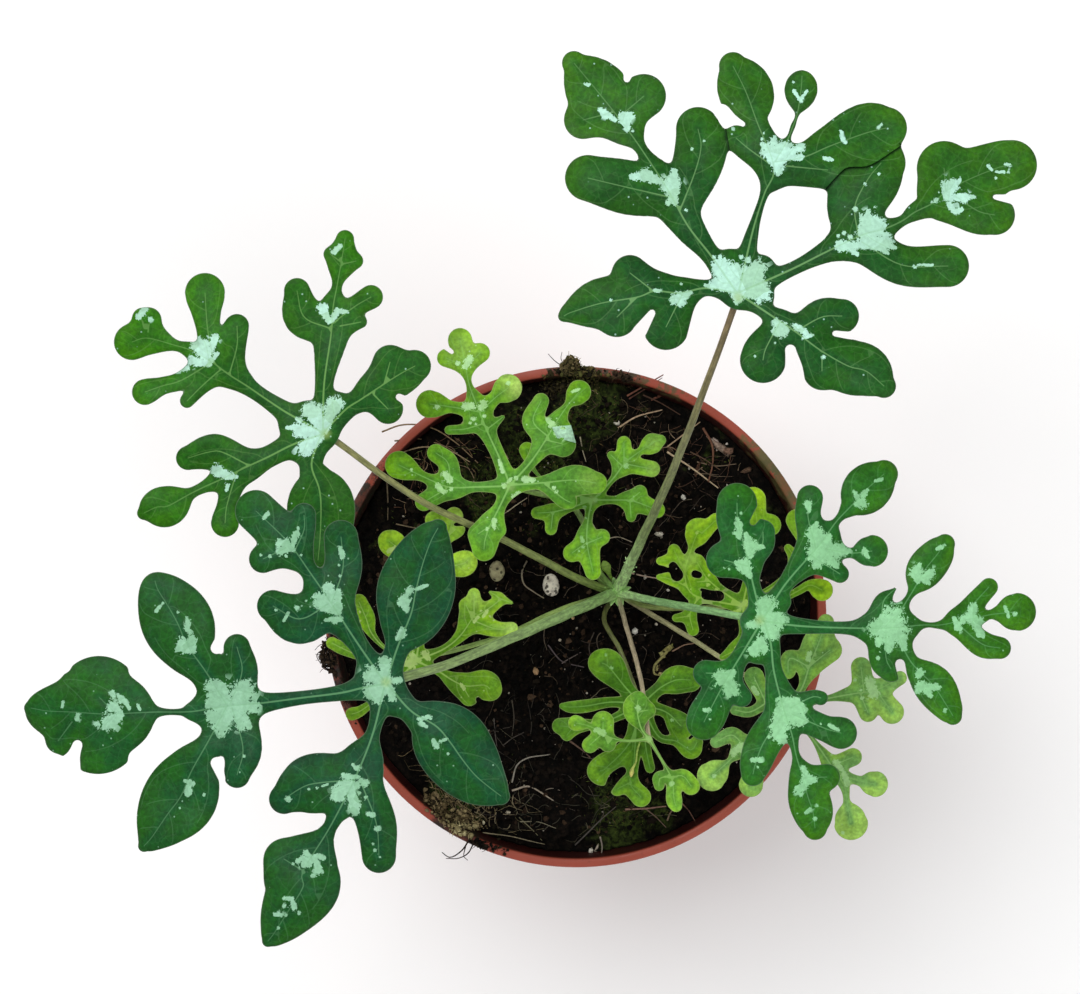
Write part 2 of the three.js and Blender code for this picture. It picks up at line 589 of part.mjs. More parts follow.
// Fewer points on a loop: none strays from it by more than the tolerance, and no edge is too long.
function thinLoop(loop) {
  const keep = new Set([0]);
  const half = Math.floor(loop.length / 2);
  keep.add(half);
  const spans = [[0, half], [half, loop.length]];
  while (spans.length) {
    const [from, to] = spans.pop();
    if (to - from < 2) continue;
    const [ax, ay] = loop[from];
    const [bx, by] = loop[to % loop.length];
    const length = Math.hypot(bx - ax, by - ay) || 1;
    let worst = -1;
    let split = -1;
    for (let i = from + 1; i < to; i += 1) {
      const [x, y] = loop[i];
      const off = Math.abs((bx - ax) * (y - ay) - (by - ay) * (x - ax)) / length;
      if (off > worst) [worst, split] = [off, i];
    }
    if (worst < OUTLINE_TOLERANCE && length < LONGEST_EDGE) continue;
    if (worst < OUTLINE_TOLERANCE) split = Math.floor((from + to) / 2);
    keep.add(split % loop.length);
    spans.push([from, split], [split, to]);
  }
  return [...keep].sort((a, b) => a - b).map((i) => loop[i]);
}

const turn = (a, b, c) => (b[0] - a[0]) * (c[1] - a[1]) - (b[1] - a[1]) * (c[0] - a[0]);

function inCircle(a, b, c, d) {
  const rows = [a, b, c].map(([x, y]) => [x - d[0], y - d[1], (x - d[0]) ** 2 + (y - d[1]) ** 2]);
  const [p, q, r] = rows;
  return p[0] * (q[1] * r[2] - q[2] * r[1]) - p[1] * (q[0] * r[2] - q[2] * r[0])
    + p[2] * (q[0] * r[1] - q[1] * r[0]) > 1e-7;
}

// Swaps the shared edge of two triangles wherever that makes them less thin.
function evenOut(points, triangles) {
  for (let round = 0; round < 40; round += 1) {
    const owners = new Map();
    triangles.forEach((triangle, t) => triangle.forEach((a, k) => {
      owners.set(`${a},${triangle[(k + 1) % 3]}`, t);
    }));
    const touched = new Set();
    let swaps = 0;
    for (let t = 0; t < triangles.length; t += 1) {
      for (let k = 0; k < 3 && !touched.has(t); k += 1) {
        const [a, b, c] = [0, 1, 2].map((n) => triangles[t][(k + n) % 3]);
        const other = owners.get(`${b},${a}`);
        if (other === undefined || touched.has(other)) continue;
        const d = triangles[other].find((v) => v !== a && v !== b);
        const convex = turn(points[c], points[a], points[d]) > 1e-6
          && turn(points[d], points[b], points[c]) > 1e-6;
        if (!convex || !inCircle(points[a], points[b], points[c], points[d])) continue;
        triangles[t] = [c, a, d];
        triangles[other] = [d, b, c];
        touched.add(t).add(other);
        swaps += 1;
      }
    }
    if (!swaps) return;
  }
}

// Splits a blade's plan into triangles: its loops, its node, and a lattice of points inside them.
function trianglesOf(loops, field, box, node) {
  const points = loops.flat();
  const shapes = loops.map((loop) => loop.map(([x, y]) => new THREE.Vector2(x, y)));
  const triangles = THREE.ShapeUtils.triangulateShape(shapes[0], shapes.slice(1))
    .map(([a, b, c]) => (turn(points[a], points[b], points[c]) > 0 ? [a, b, c] : [a, c, b]))
    .filter(([a, b, c]) => turn(points[a], points[b], points[c]) > 1e-9);
  evenOut(points, triangles);
  const spots = [node];
  const rowHeight = LATTICE * Math.sin(Math.PI / 3);
  let shift = 0;
  for (let y = box.min.y; y < box.max.y; y += rowHeight) {
    shift = LATTICE / 2 - shift;
    for (let x = box.min.x + shift; x < box.max.x; x += LATTICE) {
      const byNode = Math.hypot(x - node[0], y - node[1]) < LATTICE / 2;
      if (field(x, y) < -LATTICE_MARGIN && !byNode) spots.push([x, y]);
    }
  }
  for (const spot of spots) {
    const home = triangles.findIndex(([a, b, c]) => turn(points[a], points[b], spot) > 1e-3
      && turn(points[b], points[c], spot) > 1e-3 && turn(points[c], points[a], spot) > 1e-3);
    if (home < 0) continue;
    const [a, b, c] = triangles[home];
    const index = points.push(spot) - 1;
    triangles.splice(home, 1, [a, b, index], [b, c, index], [c, a, index]);
    evenOut(points, triangles);
  }
  return { points, triangles };
}

function planBox(name) {
  const box = new THREE.Box2();
  for (const [x, y, width] of [...BLADES[name].ribs, ...BLADES[name].webs].flat()) {
    const reach = width + PLAN_MARGIN;
    box.expandByPoint(new THREE.Vector2(x - reach, y - reach));
    box.expandByPoint(new THREE.Vector2(x + reach, y + reach));
  }
  return box;
}

// A closed blade: the same triangles above and below, and a wall along every loop.
function bladeGeometry(name) {
  const field = bladeField(name);
  const height = bladeHeight(name, field);
  const box = planBox(name);
  const loops = traceLoops(field, box, OUTLINE_STEP)
    .filter((loop) => Math.abs(loopArea(loop)) > SMALLEST_LOOP)
    .sort((a, b) => Math.abs(loopArea(b)) - Math.abs(loopArea(a)))
    .map(thinLoop);
  const { points, triangles } = trianglesOf(loops, field, box, LEAVES[name].node);
  const corners = [];
  for (const side of [0.5, -0.5]) {
    for (const [x, y] of points) {
      const spot = place(x, y, height(x, y));
      corners.push(spot.x, spot.y, spot.z + side * BLADE_THICKNESS);
    }
  }
  const below = points.length;
  const faces = triangles.flatMap(([a, b, c]) => [a, c, b, a + below, b + below, c + below]);
  let start = 0;
  for (const loop of loops) {
    const forward = loopArea(loop) > 0 === (loop === loops[0]);
    loop.forEach((_, i) => {
      const here = start + i;
      const after = start + ((i + 1) % loop.length);
      const [a, b] = forward ? [here, after] : [after, here];
      faces.push(a, b, a + below, b, b + below, a + below);
    });
    start += loop.length;
  }
  const geometry = new THREE.BufferGeometry();
  geometry.setAttribute("position", new THREE.Float32BufferAttribute(corners, 3));
  geometry.setIndex(faces);
  geometry.computeVertexNormals();
  return geometry;
}

function solidFrom(geometry) {
  const bare = geometry.clone();
  bare.deleteAttribute("normal");
  bare.deleteAttribute("uv");
  const merged = mergeVertices(bare, 1e-4);
  const corners = merged.attributes.position.array;
  const triVerts = new Uint32Array(merged.index.array);
  return new wasm.Manifold(new wasm.Mesh({ numProp: 3, vertProperties: corners, triVerts }));
}

function geometryFrom(solid) {
  const { vertProperties, triVerts } = solid.getMesh();
  const geometry = new THREE.BufferGeometry();
  geometry.setAttribute("position", new THREE.BufferAttribute(vertProperties, 3));
  geometry.setIndex(new THREE.BufferAttribute(triVerts, 1));
  return geometry;
}

// A closed round stalk along a line, its radius changing evenly from one end to the other.
function stalkGeometry(spots, [from, to], steps, sides) {
  const curve = new THREE.CatmullRomCurve3(spots, false, "centripetal");
  const { normals, binormals } = curve.computeFrenetFrames(steps, false);
  const corners = [];
  for (let i = 0; i <= steps; i += 1) {
    const centre = curve.getPointAt(i / steps);
    const radius = from + ((to - from) * i) / steps;
    for (let k = 0; k < sides; k += 1) {
      const angle = (k / sides) * Math.PI * 2;
      const spot = centre.clone()
        .addScaledVector(normals[i], radius * Math.cos(angle))
        .addScaledVector(binormals[i], radius * Math.sin(angle));
      corners.push(...spot.toArray());
    }
  }
  const startCap = corners.length / 3;
  corners.push(...curve.getPointAt(0).toArray(), ...curve.getPointAt(1).toArray());
  const faces = [];
  for (let k = 0; k < sides; k += 1) {
    const next = (k + 1) % sides;
    for (let i = 0; i < steps; i += 1) {
      const [low, high] = [i * sides, (i + 1) * sides];
      faces.push(low + k, low + next, high + next, low + k, high + next, high + k);
    }
    faces.push(startCap, next, k, startCap + 1, steps * sides + k, steps * sides + next);
  }
  const geometry = new THREE.BufferGeometry();
  geometry.setAttribute("position", new THREE.Float32BufferAttribute(corners, 3));
  geometry.setIndex(faces);
  return geometry;
}

// Pot
const rimRadius = RIM_DIAMETER / 2;
const baseRadius = BASE_DIAMETER / 2;
const bandFoot = POT_HEIGHT - RIM_BAND_HEIGHT;
const shoulderRadius = rimRadius - RIM_BAND_STEP;
const outerRadiusAt = (z) => baseRadius + ((shoulderRadius - baseRadius) * z) / bandFoot;
const innerRadiusAt = (z) => outerRadiusAt(z) - WALL;

// A round rod that stands upright, for cutting plain holes.
function upright(radius, height, x, y, z) {
  const rod = new THREE.CylinderGeometry(radius, radius, height, HOLE_SEGMENTS);
  return solidFrom(rod.rotateX(Math.PI / 2).translate(x, y, z));
}

function potGeometry() {
  const lipInside = rimRadius - RIM_LIP;
  const bandStart = bandFoot - RIM_ROUNDING;
  const roundTop = POT_HEIGHT - RIM_ROUNDING;
  const roundFoot = FLOOR + FOOT_ROUNDING;
  const profile = [
    [0, 0], [baseRadius - FOOT_ROUNDING, 0], [baseRadius, FOOT_ROUNDING],
    [outerRadiusAt(bandStart), bandStart], [rimRadius - 1.5 * RIM_ROUNDING, bandFoot],
    [rimRadius, roundTop], [rimRadius - RIM_ROUNDING, POT_HEIGHT],
    [lipInside + RIM_ROUNDING / 2, POT_HEIGHT], [lipInside, roundTop],
    [innerRadiusAt(bandFoot), bandFoot], [innerRadiusAt(roundFoot), roundFoot],
    [innerRadiusAt(FLOOR) - FOOT_ROUNDING, FLOOR], [0, FLOOR],
  ].map(([r, z]) => new THREE.Vector2(r, z));
  const lathe = new THREE.LatheGeometry(profile, POT_SEGMENTS).rotateX(Math.PI / 2);
  let pot = solidFrom(lathe);
  for (let i = 0; i < DRAIN_HOLES; i += 1) {
    const angle = ((i + 0.5) / DRAIN_HOLES) * Math.PI * 2;
    const [x, y] = [Math.cos(angle), Math.sin(angle)].map((v) => (v * DRAIN_CIRCLE_DIAMETER) / 2);
    pot = pot.subtract(upright(DRAIN_HOLE_DIAMETER / 2, 4 * FLOOR, x, y, 0));
  }
  return geometryFrom(pot);
}

// Soil: fills the pot, with low crumbs and mossy mounds on top and a plain hole for the stem.
const soilTop = POT_HEIGHT - SOIL_DEPTH_BELOW_RIM;
const crownSpot = place(CROWN[0], CROWN[1], soilTop + CROWN_OVER_SOIL);
const soilRandom = seeded(11);
const soilBumps = Array.from({ length: SOIL_BUMPS }, () => {
  const angle = soilRandom() * Math.PI * 2;
  const out = Math.sqrt(soilRandom()) * (shoulderRadius - WALL);
  return {
    x: out * Math.cos(angle),
    y: out * Math.sin(angle),
    height: SOIL_BUMP_HEIGHT * (soilRandom() - SOIL_BUMP_SINK),
    width: THREE.MathUtils.lerp(...SOIL_BUMP_WIDTHS, soilRandom()),
  };
});
const mossMounds = [
  { x: -28, y: -43, height: 5, width: 8 },
  { x: 0, y: 51, height: 7.5, width: 6 },
  { x: -10, y: 42, height: 2, width: 12 },
];

function soilHeight(x, y) {
  let height = soilTop;
  for (const bump of [...soilBumps, ...mossMounds]) {
    const near = ((x - bump.x) ** 2 + (y - bump.y) ** 2) / bump.width ** 2;
    height += bump.height * Math.exp(-near);
  }
  const fromStem = Math.hypot(x - crownSpot.x, y - crownSpot.y);
  return soilTop + (height - soilTop) * Math.min(1, fromStem / FLAT_ROUND_STEM);
}

function soilGeometry() {
  const bottom = FLOOR + FIT;
  const bottomRadius = innerRadiusAt(bottom) - SOIL_FOOT_GAP;
  const topRadius = innerRadiusAt(soilTop) - SOIL_EDGE_GAP;
  const corners = [0, 0, soilHeight(0, 0)];
  for (let ring = 1; ring <= SOIL_RINGS; ring += 1) {
    for (let spoke = 0; spoke < SOIL_SPOKES; spoke += 1) {
      const angle = (spoke / SOIL_SPOKES) * Math.PI * 2;
      const out = topRadius * Math.sqrt(ring / SOIL_RINGS);
      const x = out * Math.cos(angle);
      const y = out * Math.sin(angle);
      corners.push(x, y, soilHeight(x, y));
    }
  }
  for (let spoke = 0; spoke < SOIL_SPOKES; spoke += 1) {
    const angle = (spoke / SOIL_SPOKES) * Math.PI * 2;
    corners.push(bottomRadius * Math.cos(angle), bottomRadius * Math.sin(angle), bottom);
  }
  const bottomCentre = corners.length / 3;
  corners.push(0, 0, bottom);
  const at = (ring, spoke) => 1 + (ring - 1) * SOIL_SPOKES + (spoke % SOIL_SPOKES);
  const faces = [];
  for (let spoke = 0; spoke < SOIL_SPOKES; spoke += 1) {
    faces.push(0, at(1, spoke), at(1, spoke + 1));
    for (let ring = 1; ring <= SOIL_RINGS; ring += 1) {
      const [a, b] = [at(ring, spoke), at(ring + 1, spoke)];
      const [c, d] = [at(ring + 1, spoke + 1), at(ring, spoke + 1)];
      faces.push(a, b, c, a, c, d);
    }
    faces.push(bottomCentre, at(SOIL_RINGS + 1, spoke + 1), at(SOIL_RINGS + 1, spoke));
  }
  const geometry = new THREE.BufferGeometry();
  geometry.setAttribute("position", new THREE.Float32BufferAttribute(corners, 3));
  geometry.setIndex(faces);
  const holeHeight = 2 * (STEM_ROOT_DEPTH + FIT);
  const hole = upright(STEM_RADIUS + FIT, holeHeight, crownSpot.x, crownSpot.y, soilTop);
  return geometryFrom(solidFrom(geometry).subtract(hole));
}

// Stem and petioles: one growth, each petiole rising from the crown to just under its blade.
function petioleGeometry(name) {
  const { via, radii, rise } = PETIOLES[name];
  const { node } = LEAVES[name];
  const underside = bladeHeight(name, bladeField(name))(...node) - BLADE_THICKNESS / 2;
  const top = underside - FIT - radii[1];
  const bottom = crownSpot.z - STEM_RADIUS;
  const plan = [CROWN, ...via, node];
  const lengths = [0];
  for (let i = 1; i < plan.length; i += 1) {
    lengths.push(lengths[i - 1] + Math.hypot(plan[i][0] - plan[i - 1][0], plan[i][1] - plan[i - 1][1]));
  }
  const spots = plan.map(([x, y], i) => {
    const t = lengths[i] / lengths[plan.length - 1];
    return place(x, y, bottom + (top - bottom) * (1 - (1 - t) ** rise));
  });
  return stalkGeometry(spots, radii, PETIOLE_STEPS, PETIOLE_SIDES);
}

function stemGeometry() {
  const foot = new THREE.Vector3(crownSpot.x, crownSpot.y, soilTop - STEM_ROOT_DEPTH);
  const head = new THREE.Vector3(crownSpot.x, crownSpot.y, crownSpot.z);
  const middle = foot.clone().lerp(head, 0.5);
  let stem = solidFrom(stalkGeometry([foot, middle, head], [STEM_RADIUS, STEM_RADIUS], 4, 12));
  for (const name of Object.keys(PETIOLES)) stem = stem.add(solidFrom(petioleGeometry(name)));
  return geometryFrom(stem);
}

// Assembly
const plant = new THREE.Group();
plant.name = "potted_plant";

function addMesh(name, geometry, colour, roughness) {
  const material = new THREE.MeshStandardMaterial({ color: colour, roughness, metalness: 0 });
  const mesh = new THREE.Mesh(geometry, material);
  mesh.name = name;
  plant.add(mesh);
}

addMesh("pot", potGeometry(), 0xa04a40, 0.55);
addMesh("soil", soilGeometry(), 0x241c15, 1);
addMesh("stem_and_petioles", stemGeometry(), 0x7a8a5c, 0.6);
for (const name of Object.keys(LEAVES)) {
  addMesh(`leaf_${name}`, bladeGeometry(name), LEAVES[name].colour, 0.6);
}

export default plant;
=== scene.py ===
"""A potted silver-blotched plant: veined, blotched blades on thin petioles over a red nursery pot of dark,
crumbly soil with grit, root fibres and moss. Metres, in the part's own frame."""

import math

import bmesh
import bpy
import numpy as np
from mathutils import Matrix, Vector
from mathutils.geometry import delaunay_2d_cdt


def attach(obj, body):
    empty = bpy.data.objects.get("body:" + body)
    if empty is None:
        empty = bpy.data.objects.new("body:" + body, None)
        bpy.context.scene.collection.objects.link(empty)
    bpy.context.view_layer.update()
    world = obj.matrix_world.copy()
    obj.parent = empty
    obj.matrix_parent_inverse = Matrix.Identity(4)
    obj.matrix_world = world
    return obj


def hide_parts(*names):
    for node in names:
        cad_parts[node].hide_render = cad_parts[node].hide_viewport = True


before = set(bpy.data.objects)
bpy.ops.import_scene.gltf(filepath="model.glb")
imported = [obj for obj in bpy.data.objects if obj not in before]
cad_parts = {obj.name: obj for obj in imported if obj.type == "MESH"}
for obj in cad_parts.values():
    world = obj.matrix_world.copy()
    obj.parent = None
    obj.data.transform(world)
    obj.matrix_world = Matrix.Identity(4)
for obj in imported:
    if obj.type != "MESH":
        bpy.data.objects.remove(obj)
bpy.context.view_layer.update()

# Sizes in millimetres, as in the part's source
MM = 0.001
RIM_DIAMETER = 120
POT_HEIGHT = 100
BASE_DIAMETER = 84
WALL = 1.6
POT_FLOOR = 2.4
RIM_BAND_HEIGHT = 13
RIM_BAND_STEP = 2.2
RIM_LIP = 2.2
DRAIN_HOLES = 6
DRAIN_HOLE_DIAMETER = 9
DRAIN_CIRCLE_DIAMETER = 56
SOIL_DEPTH_BELOW_RIM = 5.5
SOIL_EDGE_GAP = 0.7
STEM_RADIUS = 2.4
CROWN_OVER_SOIL = 6.5
EDGE_TURN = 1.1
RIPPLE = 1.1

# What follows from them
RIM_RADIUS = RIM_DIAMETER / 2
BASE_RADIUS = BASE_DIAMETER / 2
BAND_FOOT = POT_HEIGHT - RIM_BAND_HEIGHT
WALL_SPREAD = RIM_RADIUS - RIM_BAND_STEP - BASE_RADIUS
SOIL_TOP = POT_HEIGHT - SOIL_DEPTH_BELOW_RIM

# The plan: where each thing is seen from straight above, in steps across the rim
RIM_STEPS = 502
PLAN_STEP = RIM_DIAMETER / RIM_STEPS
RIM_CENTRE = (576, 617)
EYE_CENTRE = (540, 497)
EYE_HEIGHT = 600
CROWN = (617, 592)
VIEW_WIDTH = 1080
SENSOR_WIDTH = 36  # the camera's, in millimetres

# Blade outlines, in plan steps
TRACE_STEP = 2.0
OUTLINE_STEP = 2.4
PLAN_MARGIN = 12
FAR_OUTSIDE = 60
SMALLEST_LOOP = 40  # in square steps
EDGE_INSET = 0.9
EDGE_TURN_WIDTH = 12
LONG_WAVE = (23, 31)  # steps a radian along x and y
SHORT_WAVE = (41, 17)

# Blade meshes: spacings in plan steps
VEIN_STEP = 3.6
FILL_STEP = 4.4
PATCH_STEP = 1.7
HEX_ROW = 0.866  # the rows of a hexagonal pattern, as a share of its step
HEX_SHAKE = 0.14
VEIN_TO_EDGE = 1.6

# Blade relief in millimetres
SHEET = 0.34
MIDRIB_RELIEF = 0.5
GROOVE = 0.16
QUILTING = 0.2
CRINKLE = 0.1
YOUNG_CRINKLE = 0.24
LAP_LIFT = 0.5
LAP_SINK = 0.35
LAP_REACH = 7.0  # in plan steps, like the next three
LAP_STEP = 1.5
LAP_SPLIT = 0.3
LAP_SHADOW = 1.6

# Side veins, in plan steps and radians
RIB_STEP = 2
NARROW_RIB = 7
LARGE_BLADE = 350
WIDE_VEIN_SPACING = 34
TIGHT_VEIN_SPACING = 24
SIDE_VEIN_WIDTH = 0.2
VEIN_ANGLE = 0.85
VEIN_ANGLE_SPREAD = 0.2
VEIN_SEGMENTS = 22
VEIN_BEND = 0.05
VEIN_END = 2.2  # how far from the edge a side vein ends
VEIN_GAP = 4.5
MARGIN_REACH = 8
MARGIN_PULL = 0.45

# The crown: pale sheaths (partly painted highlight) and bright flecks (partly painted glints) on it and on
# the tallest petiole's foot
SHEATHS = 13
SHEATH_REACH = {"upper_right": 9, "right": 5}  # how far a sheath's colour runs up a petiole, in millimetres
SHORT_SHEATH_REACH = 2.5
SHEATH_AND_HIGHLIGHT_COLOUR = "#d2f7ae"
FLECKS_AND_GLINTS = 120
GOLDEN_ANGLE = 2.4

PALE_LOBE = "#b5d76b"

CHUNK = 2000  # how many points are measured at once

LEAVES = {
    "lower_left": {"node": [386, 682], "height": 85, "lean": [1.5, -1], "arch": [3, 1.1], "soft": 3},
    "upper_left": {"node": [326, 434], "height": 56, "lean": [1, -1.5], "arch": [2, 0.9], "soft": 3},
    "upper_right": {"node": [738, 297], "height": 95, "lean": [-1, 1.5], "arch": [4, 1.5], "soft": 3},
    "right": {"node": [760, 620], "height": 75, "lean": [-1.5, 1], "arch": [3, 1.3], "soft": 2.6},
    "centre_top": {"node": [510, 487], "height": 38, "lean": [0, 0.5], "arch": [1, 0.8], "soft": 2},
    "centre": {"node": [592, 500], "height": 27, "lean": [2, 0], "arch": [2, 1], "soft": 1.6},
    "right_under": {"node": [742, 606], "height": 36, "lean": [3, 0], "arch": [0, 0.5], "soft": 1.8},
    "lower_right_under": {"node": [788, 707], "height": 30, "lean": [3, 1], "arch": [2, 1.5], "soft": 2},
    "lower_centre": {"node": [641, 704], "height": 16, "lean": [0, 1], "arch": [3, 3], "soft": 1.8},
    "left_under": {"node": [416, 660], "height": 33, "lean": [1, 2.5], "arch": [2, 1.4], "soft": 2},
    "young": {"node": [649, 739], "height": 34, "lean": [0, 0], "arch": [1, 2], "soft": 1.2},
}

